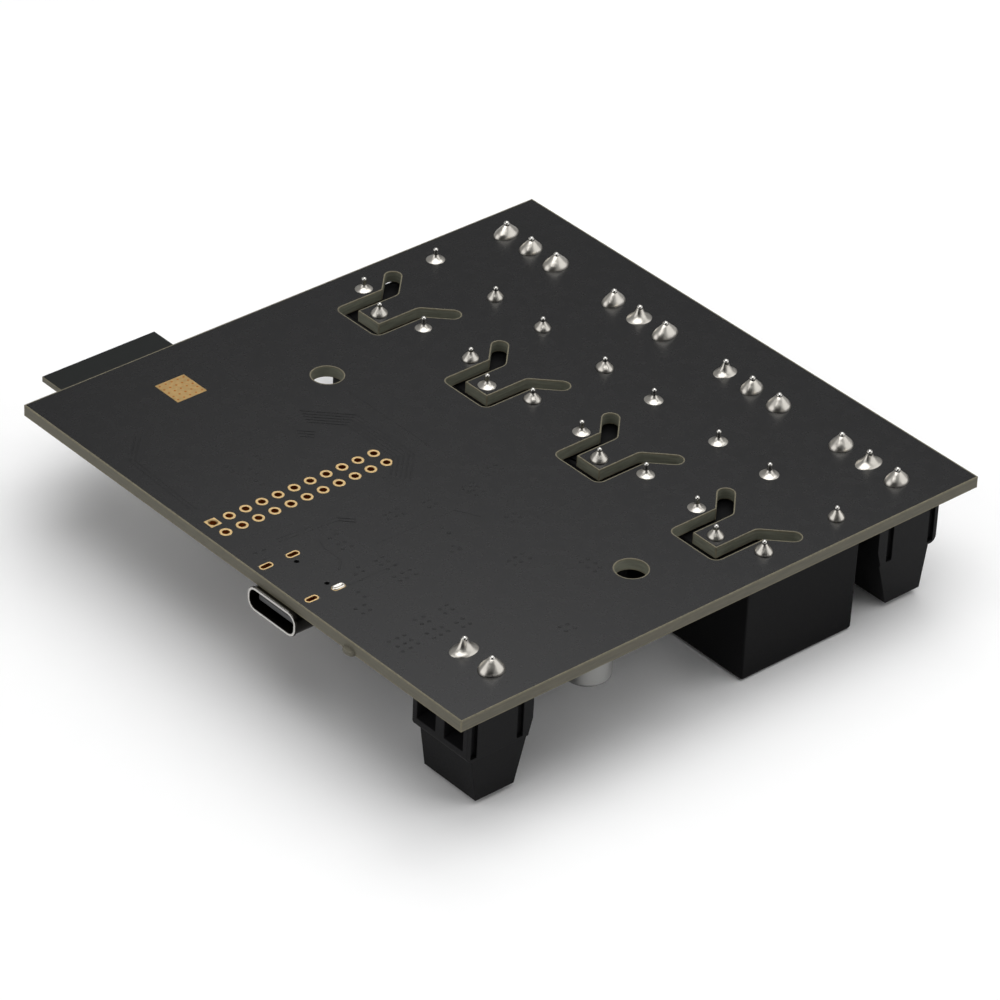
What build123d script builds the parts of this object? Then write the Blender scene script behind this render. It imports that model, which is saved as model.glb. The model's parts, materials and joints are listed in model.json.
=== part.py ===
# Four-channel relay module board, lying on its component side with the solder side up.
# Millimetres, +Z up. X runs from the socket edge to the relay terminal edge, Y from the
# supply terminal's edge to the edge that the wireless module overhangs. The origin is the
# middle of the base of the whole part's box, so the relays' flat tops lie in Z = 0.
from build123d import *
from math import cos, radians, sin, sqrt
import os

# Circuit board
board_length = 84.6
board_width = 84.9
board_thickness = 1.6
mounting_hole_diameter = 4.2
mounting_hole_a_from_drive = 5.9
mounting_hole_a_y = 11.3
mounting_hole_b_from_middle = 2.54
mounting_hole_b_setback = 17.6

# Unpopulated header, two rows of plated holes
header_pitch = 2.54
header_columns = 11
header_rows = 2
header_hole_diameter = 1.0
header_first_x = 2.53
header_first_y = 47.2

# The four channels, each a relay with its terminal block and drive parts
channel_count = 4
first_channel_y = 10.2
last_channel_setback = 10.26
relay_to_terminal_gap = 4.1
drive_column_gap = 5.6

# Sealed relays, hanging from the board's component side
relay_length = 18.8
relay_width = 15.4
relay_height = 15.5
relay_draft = 0.1
relay_edge_chamfer = 0.4
relay_foot_height = 0.3
relay_foot_size = 1.6
relay_foot_inset = 0.5
relay_contact_pin_inset = 2.8
relay_coil_pin_inset = 3.75
relay_common_pin_inset = 1.35
relay_pin_side_inset = 1.65
relay_pin_thickness = 0.75
relay_pin_stub = 1.75

# Milled isolation slot round each relay's common pin
slot_width = 2.1
slot_coil_pin_gap = 2.9
slot_before_common = 2.7
slot_after_common = 4.65
slot_flare = 2.9
slot_side_offset = 0.2

# Screw terminal blocks
terminal_pitch = 5.0
relay_terminal_poles = 3
supply_terminal_poles = 2
terminal_depth = 10.35
terminal_height = 14.75
terminal_front_reach = 5.55
terminal_shoulder_height = 8.4
terminal_shoulder_radius = 1.0
terminal_front_lean = 0.95
terminal_back_straight = 6.0
terminal_back_lean = 2.4
terminal_end_step = 0.25
terminal_edge_setback = 3.25
terminal_side_offset = 0.34
supply_terminal_setback = 3.95
supply_terminal_y = 8.2
groove_width = 0.9
groove_root_width = 1.2
groove_depth = 0.6
groove_length = 8.0
groove_front_inset = 1.1
groove_spacing = 7.2
wire_mouth_width = 3.4
wire_mouth_low = 1.2
wire_mouth_high = 6.9

# Clamp box, its solder pin and its screw
clamp_width = 4.0
clamp_depth = 5.2
clamp_seat_wall = 0.8
clamp_side_wall = 0.4
clamp_nut_wall = 1.5
clamp_gap_to_board = 0.7
clamp_window_height = 4.5
clamp_clearance = 0.05
terminal_pin_thickness = 0.8
terminal_pin_stub = 2.0
screw_forward_of_pin = 0.6
screw_diameter = 2.9
screw_thread_clearance = 0.06
screw_point_past_nut = 0.1
screw_shank_length = 5.5
screw_head_diameter = 3.7
screw_head_height = 1.7
screw_head_clearance = 0.1
screw_slot_width = 0.7
screw_slot_depth = 0.9

# Solder joints, on round pads at the relays and oval ones at the terminals
plated_hole_clearance = 0.25
relay_pad_length = 2.4
relay_pad_width = 2.4
relay_solder_height = 1.1
terminal_pad_length = 3.7
terminal_pad_width = 2.85
terminal_solder_height = 1.45
solder_collar = 0.15

# Small rounds have flats, so that what repeats stays light
small_sides = 6
thread_sides = 8
bore_sides = 10
can_sides = 20
cutter_sides = 16

# Wireless module
module_width = 18.0
module_length = 25.5
module_thickness = 0.8
module_overhang = 6.0
module_first_x = 7.25
module_pad_pitch = 1.27
module_first_pad = 1.5
module_notch_size = 0.5
module_side_pads = 14
module_end_pads = 10
shield_length = 17.6
shield_width = 15.8
shield_height = 2.3
shield_corner = 0.6
shield_edge_chamfer = 0.2
shield_inset = 0.9

# Cable socket at the board's edge
socket_width = 8.94
socket_height = 3.2
socket_depth = 7.35
socket_overhang = 0.75
socket_wall = 0.3
socket_corner_radius = 1.3
socket_lip = 0.14
socket_lip_length = 0.3
socket_centre_y = 34.2
socket_back_wall = 1.0
tongue_width = 6.7
tongue_thickness = 0.7
tongue_setback = 0.8
tongue_root_length = 1.6
socket_leg_half_spacing = 4.35
socket_leg_xs = (1.9, 6.0)
socket_leg_width = 1.2
socket_leg_thickness = 0.3
socket_leg_slot_margin = 0.2
socket_peg_x = 5.42
socket_peg_half_spacing = 2.9
socket_peg_diameter = 0.6
socket_peg_clearance = 0.05

# Supply smoothing capacitor
can_diameter = 6.3
can_height = 7.7
can_rim_chamfer = 0.4
can_groove_height = 1.8
can_groove_width = 0.4
can_groove_depth = 0.25
can_base_size = 6.6
can_base_height = 1.0
can_base_corner = 1.4
can_from_drive = 15.7
can_y = 7.8

# Push buttons beside the wireless module
button_size = 5.2
button_body_height = 1.5
button_corner = 0.5
button_cap_diameter = 2.6
button_cap_rise = 0.7
button_cap_sunk = 0.9
button_clearance = 0.1
button_travel = 0.25
button_setbacks = {"reset": 4.9, "boot": 10.9}

# Leaded chips, each with its leads folded down to the board
chip_body_width = 3.9
chip_height = 1.6
chip_stand = 0.1
chip_draft = 0.1
lead_pitch = 1.27
lead_width = 0.4
lead_reach = 1.05
lead_thickness = 0.2
switching_regulator_length = 4.9
switching_regulator_lead_count = 4
switching_regulator_from_inductor = 8.0
switching_regulator_y = 21.5
bridge_chip_length = 9.9
bridge_chip_lead_count = 8
bridge_chip_x = 19.0
tab_regulator_length = 6.5
tab_regulator_width = 3.5
tab_regulator_lead_pitch = 2.3
tab_regulator_lead_width = 0.7
tab_regulator_lead_reach = 1.7
tab_regulator_tab_width = 3.0
tab_regulator_x = 19.0
tab_regulator_below_module = 8.4

# Coil, diodes, transistors, lights, resistors and ceramic capacitors
inductor_size = 7.0
inductor_corner = 1.0
inductor_height = 4.0
inductor_from_drive = 11.5
inductor_y = 20.5
diode_length = 4.3
diode_width = 2.6
diode_height = 2.2
diode_tab_reach = 0.4
diode_tab_width = 1.45
diode_draft = 0.15
supply_diode_from_inductor = 11.5
supply_diode_y = 15.5
transistor_length = 2.9
transistor_width = 1.3
transistor_height = 1.05
transistor_foot_pitch = 1.9
transistor_foot_width = 0.4
transistor_foot_reach = 0.65
light_length = 2.0
light_base_height = 0.4
light_dome_length = 1.2
light_dome_height = 0.8
power_light_from_inductor = 14.5
power_light_y = 22.0
small_chip_length = 2.0
small_chip_width = 1.25
small_chip_cap_length = 0.4
small_chip_cap_rise = 0.05
resistor_height = 0.5
ceramic_height = 0.9
light_resistor_from_inductor = 12.4
cable_resistor_x = 12.0
cable_resistor_spacing = 11.0
input_ceramic_from_inductor = 17.0
input_ceramic_y = 18.8
output_ceramic_from_inductor = 5.5
cable_ceramic_spacing = 12.0
cable_ceramic_from_chip = 8.8
module_ceramic_from_middle = 2.76
module_ceramic_gaps = (2.4, 4.9)
# Places along a channel, from its relay's middle
drive_diode_offset = -3.5
drive_transistor_offset = 1.2
drive_resistor_offset = 4.2
drive_light_offset = 7.2
drive_resistor_spacing = 2.6

# Derived heights and places
underside_z = relay_height
solder_side_z = underside_z + board_thickness
centre_x = (board_length - socket_overhang) / 2
centre_y = (board_width + module_overhang) / 2
channel_pitch = (board_width - first_channel_y - last_channel_setback) / (channel_count - 1)
module_y = board_width + module_overhang - module_length
relay_terminal_pin_x = board_length - terminal_edge_setback - terminal_front_reach
supply_terminal_pin_x = supply_terminal_setback + terminal_front_reach
terminal_back = terminal_front_reach - terminal_depth
relay_far_x = relay_terminal_pin_x + terminal_back - relay_to_terminal_gap
relay_near_x = relay_far_x - relay_length
relay_contact_x = relay_far_x - relay_contact_pin_inset
relay_coil_x = relay_near_x + relay_coil_pin_inset
relay_common_x = relay_near_x + relay_common_pin_inset
relay_centre_x = relay_far_x - relay_length / 2
relay_pin_half_spacing = relay_width / 2 - relay_pin_side_inset
slot_half_spacing = relay_pin_half_spacing - slot_coil_pin_gap
drive_x = relay_near_x - drive_column_gap

# Derived places of what stands between the module and the drive parts, and of the supply's parts
drive_edge_x = drive_x - drive_resistor_spacing - small_chip_width / 2
middle_x = (module_first_x + module_width + drive_edge_x) / 2
inductor_x = drive_x - inductor_from_drive
mounting_holes = {
    "a": (drive_x - mounting_hole_a_from_drive, mounting_hole_a_y),
    "b": (middle_x + mounting_hole_b_from_middle, board_width - mounting_hole_b_setback),
}

# Derived heights of the clamp and its screw, down from the board
clamp_window_start = clamp_gap_to_board + clamp_seat_wall
clamp_window_end = clamp_window_start + clamp_window_height
clamp_end = clamp_window_end + clamp_nut_wall
screw_point = clamp_window_end + screw_point_past_nut
screw_head_start = screw_point + screw_shank_length
screw_head_end = screw_head_start + screw_head_height
screw_travel = screw_head_start - clamp_end - screw_head_clearance * 3


def place(x, y, z=0.0):
    """Location of a point given from the board's corner, with Z from the relays' tops."""
    return Pos(x - centre_x, y - centre_y, z)


def hang(part, x, y, turn=0):
    """Put a part modelled below Z = 0 on the board's component side."""
    return place(x, y, underside_z) * Rot(0, 0, turn) * part


def spread(count, pitch):
    """Evenly spaced coordinates about zero."""
    return [(i - (count - 1) / 2) * pitch for i in range(count)]


def block(length, width, start, end):
    """Box from one depth below the board to another."""
    return Pos(0, 0, -(start + end) / 2) * Box(length, width, end - start)


def rod(diameter, sides, start, end):
    """Round rod with flats, from one height to another."""
    return Pos(0, 0, start) * extrude(RegularPolygon(diameter / 2, sides), end - start)


def oblong(length, width, middle=0.0):
    """Corners of a rectangle, its middle moved in the second direction."""
    half = length / 2
    low, high = middle - width / 2, middle + width / 2
    return [(-half, low), (half, low), (half, high), (-half, high)]


def oval(length, width, sides):
    """Corners of an oval with flats."""
    turns = [radians(360 * (i + 0.5) / sides) for i in range(sides)]
    return [(length / 2 * cos(turn), width / 2 * sin(turn)) for turn in turns]


def tapered(low, high, start, end):
    """Solid with flat sides, from an outline at one height to a like outline at another."""
    lower = [Vector(x, y, start) for x, y in low]
    upper = [Vector(x, y, end) for x, y in high]
    edges = list(zip(lower, upper))
    faces = [Face(Wire.make_polygon(corners)) for corners in (lower, upper)]
    for (a, b), (c, d) in zip(edges, edges[1:] + edges[:1]):
        faces.append(Face(Wire.make_polygon([a, c, d, b])))
    return Solid(Shell(faces))


def drafted(length, width, draft, start, end):
    """Moulded block that is narrower by the draft all round at its second height."""
    return tapered(oblong(length, width), oblong(length - 2 * draft, width - 2 * draft), start, end)


def channel_y(channel):
    """Middle of a relay, for channels counted from the supply terminal's side."""
    return first_channel_y + channel * channel_pitch


def relay_pins():
    """The five pin places of one relay, X from the board's corner and Y from its middle."""
    side = relay_pin_half_spacing
    return [(relay_common_x, 0.0)] + [
        (x, y) for x in (relay_coil_x, relay_contact_x) for y in (-side, side)
    ]


def terminal_sites():
    """Pin row middle, turn and poles of each terminal block, by name."""
    sites = {"supply_terminal": (supply_terminal_pin_x, supply_terminal_y, 180, supply_terminal_poles)}
    for channel in range(channel_count):
        y = channel_y(channel) + terminal_side_offset
        sites[f"relay_terminal_{channel + 1}"] = (relay_terminal_pin_x, y, 0, relay_terminal_poles)
    return sites


def terminal_pins():
    """Every terminal pin's place from the board's corner."""
    return [
        (x, y + dy)
        for x, y, _, poles in terminal_sites().values()
        for dy in spread(poles, terminal_pitch)
    ]


def header_holes():
    """Places of the unpopulated header's holes."""
    return [
        (header_first_x + column * header_pitch, header_first_y + row * header_pitch)
        for column in range(header_columns)
        for row in range(header_rows)
    ]


def milled(path, width):
    """Slot that a round cutter leaves along a path."""
    cutter = RegularPolygon(width / 2, cutter_sides)
    stretches = [(Pos(*a) * cutter, Pos(*b) * cutter) for a, b in zip(path, path[1:])]
    return Sketch() + [make_hull(start.edges() + end.edges()) for start, end in stretches]


def isolation_slot():
    """Slot milled in a bracket round a common pin, its arms flaring towards the contacts."""
    start = relay_common_x - slot_before_common
    bend = relay_common_x + slot_after_common
    tip = bend + slot_flare
    near, far = slot_half_spacing, slot_half_spacing + slot_flare
    path = [(tip, far), (bend, near), (start, near), (start, -near), (bend, -near), (tip, -far)]
    return Pos(0, slot_side_offset) * milled(path, slot_width)


def circuit_board():
    """The bare board with every hole and slot that is drilled or milled in it."""
    holes = [Pos(*at) * Circle(mounting_hole_diameter / 2) for at in mounting_holes.values()]
    holes += [Pos(*at) * Circle(header_hole_diameter / 2) for at in header_holes()]
    relay_hole = Rectangle(*[relay_pin_thickness + 2 * plated_hole_clearance] * 2)
    slot = isolation_slot()
    for channel in range(channel_count):
        along = Pos(0, channel_y(channel))
        holes += [along * Pos(x, dy) * relay_hole for x, dy in relay_pins()]
        holes.append(along * slot)
    terminal_hole = Rectangle(*[terminal_pin_thickness + 2 * plated_hole_clearance] * 2)
    holes += [Pos(*at) * terminal_hole for at in terminal_pins()]
    holes += [Pos(0, socket_centre_y) * hole for hole in socket_holes()]
    sheet = Pos(board_length / 2, board_width / 2) * Rectangle(board_length, board_width)
    for hole in holes:
        sheet -= hole
    return place(0, 0, underside_z) * extrude(sheet, board_thickness)


def socket_peg_places():
    """The socket's two locating pegs, Y from the socket's middle."""
    return [(socket_peg_x, y) for y in spread(2, 2 * socket_peg_half_spacing)]


def socket_leg_places():
    """The socket's four soldered legs, Y from the socket's middle."""
    return [(x, y) for x in socket_leg_xs for y in spread(2, 2 * socket_leg_half_spacing)]


def socket_holes():
    """The board's holes for the socket's pegs and legs."""
    peg_hole = RegularPolygon(socket_peg_diameter / 2 + socket_peg_clearance, small_sides)
    slot_length = socket_leg_width + 2 * socket_leg_slot_margin
    leg_hole = Rectangle(slot_length, socket_leg_thickness + 2 * socket_leg_slot_margin)
    return [Pos(*at) * peg_hole for at in socket_peg_places()] + [
        Pos(*at) * leg_hole for at in socket_leg_places()
    ]


def solder_joint(pad_length, pad_width, pin_thickness, height):
    """Solder drawn up from its pad to the pin that it holds."""
    pad = oval(pad_length, pad_width, small_sides)
    shrink = (pin_thickness * sqrt(2) + 2 * solder_collar) / pad_width
    tip = [(x * shrink, y * shrink) for x, y in pad]
    return tapered(pad, tip, 0, height) - block(pin_thickness, pin_thickness, -height, 0)


def solder_joints():
    """One joint at every pin, on the solder side."""
    at_relay = solder_joint(relay_pad_length, relay_pad_width, relay_pin_thickness, relay_solder_height)
    at_terminal = solder_joint(
        terminal_pad_length, terminal_pad_width, terminal_pin_thickness, terminal_solder_height
    )
    joints = [
        place(x, channel_y(channel) + dy, solder_side_z) * at_relay
        for channel in range(channel_count)
        for x, dy in relay_pins()
    ]
    return joints + [place(*at, solder_side_z) * at_terminal for at in terminal_pins()]


def relay_case():
    """Sealed relay case with drafted walls, on four corner feet, its flat top at the bottom."""
    case = drafted(relay_length, relay_width, relay_draft, -relay_foot_height, -relay_height)
    case = chamfer(case.faces().sort_by(Axis.Z)[0].edges(), relay_edge_chamfer)
    foot = block(relay_foot_size, relay_foot_size, 0, relay_foot_height)
    inset = 2 * relay_foot_inset + relay_foot_size
    for x in spread(2, relay_length - inset):
        for y in spread(2, relay_width - inset):
            case += Pos(x, y) * foot
    return case


def relay_pin_set():
    """Five pins that run from a relay's base through the board."""
    tip = board_thickness + relay_pin_stub
    pin = block(relay_pin_thickness, relay_pin_thickness, -tip, relay_foot_height)
    return [Pos(x, dy) * pin for x, dy in relay_pins()]


def housing_body(length):
    """Solid of a terminal block's moulding: an upright foot and a leaning, stepped top."""
    front, back = terminal_front_reach, terminal_back
    shoulder, radius = terminal_shoulder_height, terminal_shoulder_radius
    slope = terminal_back_lean / (terminal_height - terminal_back_straight)
    back_at_shoulder = back + slope * (shoulder - terminal_back_straight)
    foot_outline = [
        Polyline(
            (front - radius, -shoulder),
            (back_at_shoulder, -shoulder),
            (back, -terminal_back_straight),
            (back, 0),
            (front, 0),
            (front, radius - shoulder),
        ),
        CenterArc((front - radius, radius - shoulder), radius, 0, -90),
    ]
    top_outline = Polyline(
        (front - radius, -shoulder),
        (front - radius - terminal_front_lean, -terminal_height),
        (back + terminal_back_lean, -terminal_height),
        (back_at_shoulder, -shoulder),
        close=True,
    )
    body = extrude(Plane.XZ * make_face(foot_outline), length / 2, both=True)
    top = extrude(Plane.XZ * make_face(top_outline), length / 2 - terminal_end_step, both=True)
    return body + top


def end_groove():
    """Dovetail groove that takes the next block's key, cut in from an end face at Y = 0."""
    mouth, root = groove_width / 2, groove_root_width / 2
    outline = Polyline((-mouth, 0), (mouth, 0), (root, groove_depth), (-root, groove_depth), close=True)
    return extrude(make_face(outline), -groove_length)


def wire_funnel():
    """Space that narrows from a wire mouth in the front face to the clamp's window."""
    pocket_front = screw_forward_of_pin + clamp_depth / 2 + clamp_clearance
    mouth_height = wire_mouth_high - wire_mouth_low
    mouth = oblong(wire_mouth_width, mouth_height, -(wire_mouth_low + wire_mouth_high) / 2)
    throat_middle = -(clamp_window_start + clamp_window_end) / 2
    throat = oblong(clamp_width - 2 * clamp_side_wall, clamp_window_height, throat_middle)
    facing = Plane((0, 0, 0), x_dir=(0, 1, 0), z_dir=(1, 0, 0))
    return facing.location * tapered(throat, mouth, pocket_front, terminal_front_reach)


def housing(poles):
    """Terminal block with a funnel, a clamp pocket and a screw bore for each pole."""
    length = poles * terminal_pitch
    body = housing_body(length)
    groove = end_groove()
    for inset in (groove_front_inset, groove_front_inset + groove_spacing):
        x = terminal_front_reach - inset
        body -= Pos(x, -length / 2) * groove
        body -= Pos(x, length / 2) * Rot(0, 0, 180) * groove
    play = 2 * clamp_clearance
    pocket = Pos(screw_forward_of_pin) * block(clamp_depth + play, clamp_width + play, 0, clamp_end)
    bore_diameter = screw_head_diameter + 2 * screw_head_clearance
    bore = Pos(screw_forward_of_pin) * rod(bore_diameter, bore_sides, -terminal_height, -clamp_end)
    funnel = wire_funnel()
    for y in spread(poles, terminal_pitch):
        for space in (pocket, bore, funnel):
            body -= Pos(0, y) * space
    return body


def clamp():
    """Clamp box that takes the wire, its tapped wall and the pin that is soldered in."""
    box = block(clamp_depth, clamp_width, clamp_gap_to_board, clamp_end)
    box -= block(clamp_depth, clamp_width - 2 * clamp_side_wall, clamp_window_start, clamp_window_end)
    tapped_diameter = screw_diameter + 2 * screw_thread_clearance
    box -= rod(tapped_diameter, thread_sides, -clamp_end, -clamp_window_end)
    tip = board_thickness + terminal_pin_stub
    pin = block(terminal_pin_thickness, terminal_pin_thickness, -tip, clamp_gap_to_board)
    return Pos(screw_forward_of_pin) * box + pin


def clamp_screw():
    """Slotted screw, backed out as far as it goes."""
    shank = rod(screw_diameter, thread_sides, -screw_head_start, -screw_point)
    head = rod(screw_head_diameter, bore_sides, -screw_head_end, -screw_head_start)
    slot = block(screw_head_diameter, screw_slot_width, screw_head_end - screw_slot_depth, screw_head_end)
    return Pos(screw_forward_of_pin) * (shank + head - slot)


def module_board():
    """Small circuit board with plated notches along three of its edges."""
    outline = Pos(module_width / 2, module_length / 2) * Rectangle(module_width, module_length)
    notch = Rot(0, 0, 45) * Rectangle(module_notch_size, module_notch_size)
    pads = [
        (x, module_first_pad + i * module_pad_pitch)
        for x in (0, module_width)
        for i in range(module_side_pads)
    ]
    pads += [(module_width / 2 + x, 0) for x in spread(module_end_pads, module_pad_pitch)]
    for at in pads:
        outline -= Pos(*at) * notch
    return extrude(outline, -module_thickness)


def module_shield():
    """Drawn metal can over the wireless module's chips."""
    outline = chamfer(Rectangle(shield_width, shield_length).vertices(), shield_corner)
    can = extrude(outline, -shield_height)
    can = chamfer(can.faces().sort_by(Axis.Z)[0].edges(), shield_edge_chamfer)
    return Pos(module_width / 2, shield_inset + shield_length / 2, -module_thickness) * can


def socket_outline(grow):
    """Rounded outline of the socket shell, larger by a given margin all round."""
    corner = RegularPolygon(socket_corner_radius + grow, cutter_sides)
    x = socket_width / 2 - socket_corner_radius
    y = socket_height / 2 - socket_corner_radius
    corners = [Pos(*at) * corner for at in ((x, y), (x, -y), (-x, y), (-x, -y))]
    return make_hull([edge for each in corners for edge in each.edges()])


def socket_shell():
    """Folded steel shell of the cable socket, with four legs in the board's slots."""
    face = Plane((-socket_overhang, 0, -socket_height / 2), x_dir=(0, 1, 0), z_dir=(1, 0, 0))
    shell = extrude(face * socket_outline(0), socket_depth)
    shell += extrude(face * socket_outline(socket_lip), socket_lip_length)
    leg = block(socket_leg_width, socket_leg_thickness, -board_thickness / 2, socket_corner_radius)
    for at in socket_leg_places():
        shell += Pos(*at) * leg
    peg_hole = rod(socket_peg_diameter + 2 * socket_peg_clearance, small_sides, -socket_height / 2, 0)
    for at in socket_peg_places():
        shell -= Pos(*at) * peg_hole
    return shell - extrude(face * socket_outline(-socket_wall), socket_depth)


def socket_insert():
    """Moulded tongue and back of the cable socket, with two locating pegs."""
    back_x = socket_depth - socket_overhang
    back = Plane((back_x, 0, -socket_height / 2), x_dir=(0, 1, 0), z_dir=(-1, 0, 0))
    insert = extrude(back * socket_outline(-socket_wall), socket_back_wall)
    insert += extrude(back * Rectangle(tongue_width, tongue_thickness), socket_depth - tongue_setback)
    root = Rectangle(tongue_width, 2 * tongue_thickness)
    insert += extrude(back * root, socket_back_wall + tongue_root_length)
    peg_root = tongue_thickness - socket_height / 2
    peg = rod(socket_peg_diameter, small_sides, peg_root, board_thickness / 2)
    for at in socket_peg_places():
        insert += Pos(*at) * peg
    return insert


def capacitor_can():
    """Aluminium can with its crimped neck and chamfered end."""
    neck = can_diameter - 2 * can_groove_depth
    neck_end = can_groove_height + can_groove_width
    can = rod(can_diameter, can_sides, -can_groove_height, -can_base_height)
    can += rod(neck, can_sides, -neck_end, -can_groove_height)
    drum = rod(can_diameter, can_sides, -can_height, -neck_end)
    return can + chamfer(drum.faces().sort_by(Axis.Z)[0].edges(), can_rim_chamfer)


def capacitor_base():
    """Square plastic base with two cut corners."""
    base = Rectangle(can_base_size, can_base_size)
    base = chamfer(base.vertices().group_by(Axis.X)[-1], can_base_corner)
    return extrude(base, -can_base_height)


def button_body():
    """Low square switch body with a round well for its cap."""
    body = extrude(chamfer(Rectangle(button_size, button_size).vertices(), button_corner), -button_body_height)
    floor = button_body_height - button_cap_sunk - button_travel
    well = rod(button_cap_diameter + 2 * button_clearance, bore_sides, -button_body_height, -floor)
    return body - well


def button_cap():
    """Round cap that stands out of the switch body."""
    bottom = -button_body_height - button_cap_rise
    return rod(button_cap_diameter, bore_sides, bottom, button_cap_sunk - button_body_height)


def leaded_chip(length, width, height, leads, pitch, lead_width, lead_reach):
    """Moulded chip with folded leads along both long sides."""
    body = drafted(length, width, chip_draft, -chip_stand, -height)
    inner, outer = width / 2 - chip_draft, width / 2 + lead_reach
    foot = outer - lead_reach / 2
    lead_outline = Polyline(
        (inner, -height / 2),
        (foot, -lead_thickness),
        (outer, -lead_thickness),
        (outer, 0),
        (foot - lead_thickness, 0),
        (inner, lead_thickness - height / 2),
        close=True,
    )
    lead = extrude(Plane.YZ * make_face(lead_outline), lead_width / 2, both=True)
    for x in spread(leads, pitch):
        body += Pos(x, 0) * lead
        body += Pos(x, 0) * Rot(0, 0, 180) * lead
    return body


def narrow_chip(length, leads):
    """Chip of the usual narrow body, for a given length and leads on each side."""
    return leaded_chip(length, chip_body_width, chip_height, leads, lead_pitch, lead_width, lead_reach)


def tab_regulator():
    """Regulator with three leads on one side and a wide tab over the middle one of the other."""
    body = leaded_chip(
        tab_regulator_length,
        tab_regulator_width,
        chip_height,
        3,
        tab_regulator_lead_pitch,
        tab_regulator_lead_width,
        tab_regulator_lead_reach,
    )
    reach = tab_regulator_width / 2 + tab_regulator_lead_reach
    tab = block(tab_regulator_tab_width, reach, 0, lead_thickness)
    return body + Pos(0, reach / 2) * tab


def inductor():
    """Square shielded inductor with cut corners."""
    outline = chamfer(Rectangle(inductor_size, inductor_size).vertices(), inductor_corner)
    return extrude(outline, -inductor_height)


def diode():
    """Diode with a tapered moulded body over two flat end terminals."""
    body = drafted(diode_length, diode_width, diode_draft, -lead_thickness / 2, -diode_height)
    return body + block(diode_length + 2 * diode_tab_reach, diode_tab_width, 0, lead_thickness)


def transistor():
    """Three-lead transistor."""
    body = drafted(transistor_length, transistor_width, chip_draft, -chip_stand, -transistor_height)
    reach = transistor_width / 2 + transistor_foot_reach
    foot = block(transistor_foot_width, reach, 0, lead_thickness)
    body += Pos(0, reach / 2) * foot
    for x in spread(2, transistor_foot_pitch):
        body += Pos(x, -reach / 2) * foot
    return body


def light():
    """Small indicator light, a clear block on a flat base."""
    base = block(light_length, small_chip_width, 0, light_base_height)
    return base + block(light_dome_length, small_chip_width, 0, light_dome_height)


def small_chip(height):
    """Two-ended chip whose end caps stand a little proud of its body."""
    end = small_chip_length / 2
    inner = end - small_chip_cap_length
    outline = Polyline(
        (-end, 0),
        (end, 0),
        (end, -height),
        (inner, -height),
        (inner, small_chip_cap_rise - height),
        (-inner, small_chip_cap_rise - height),
        (-inner, -height),
        (-end, -height),
        close=True,
    )
    return extrude(Plane.XZ * make_face(outline), small_chip_width / 2, both=True)


def resistor_places():
    """Place and turn of the resistors at the power light and at the socket's wires."""
    beside_socket = [
        (cable_resistor_x, socket_centre_y + y, 0) for y in spread(2, cable_resistor_spacing)
    ]
    return [(inductor_x - light_resistor_from_inductor, power_light_y, 90)] + beside_socket


def ceramic_places():
    """Place and turn of the ceramic capacitors at the supply, the cable chip and the module."""
    at_supply = [
        (inductor_x - input_ceramic_from_inductor, input_ceramic_y, 90),
        (inductor_x + output_ceramic_from_inductor, inductor_y, 90),
    ]
    at_chip = [
        (bridge_chip_x + x, socket_centre_y + cable_ceramic_from_chip, 0)
        for x in spread(2, cable_ceramic_spacing)
    ]
    module_x = middle_x - module_ceramic_from_middle
    return at_supply + at_chip + [(module_x, module_y - gap, 0) for gap in module_ceramic_gaps]


def small_parts():
    """The surface-mounted parts of the component side, each kind as one node."""
    resistor = small_chip(resistor_height)
    ceramic = small_chip(ceramic_height)
    regulator = narrow_chip(switching_regulator_length, switching_regulator_lead_count)
    regulator_at = (inductor_x - switching_regulator_from_inductor, switching_regulator_y)
    bridge_chip = narrow_chip(bridge_chip_length, bridge_chip_lead_count)
    parts = {
        "power_inductor": [hang(inductor(), inductor_x, inductor_y)],
        "switching_regulator": [hang(regulator, *regulator_at, 90)],
        "cable_bridge_chip": [hang(bridge_chip, bridge_chip_x, socket_centre_y, 90)],
        "linear_regulator": [hang(tab_regulator(), tab_regulator_x, module_y - tab_regulator_below_module)],
        "diodes": [hang(diode(), inductor_x - supply_diode_from_inductor, supply_diode_y)],
        "transistors": [],
        "indicator_lights": [hang(light(), inductor_x - power_light_from_inductor, power_light_y, 90)],
        "resistors": [hang(resistor, *at) for at in resistor_places()],
        "ceramic_capacitors": [hang(ceramic, *at) for at in ceramic_places()],
    }
    for channel in range(channel_count):
        y = channel_y(channel)
        parts["diodes"].append(hang(diode(), drive_x, y + drive_diode_offset, 90))
        parts["transistors"].append(hang(transistor(), drive_x, y + drive_transistor_offset, 90))
        parts["indicator_lights"].append(hang(light(), drive_x, y + drive_light_offset, 90))
        for x in (drive_x - drive_resistor_spacing, drive_x):
            parts["resistors"].append(hang(resistor, x, y + drive_resistor_offset, 90))
    return parts


def save(name, solids):
    """Write one node, of one solid or of several like ones."""
    shape = solids[0] if len(solids) == 1 else Compound(children=list(solids))
    export_step(shape, f"parts/{name}.step")


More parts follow.
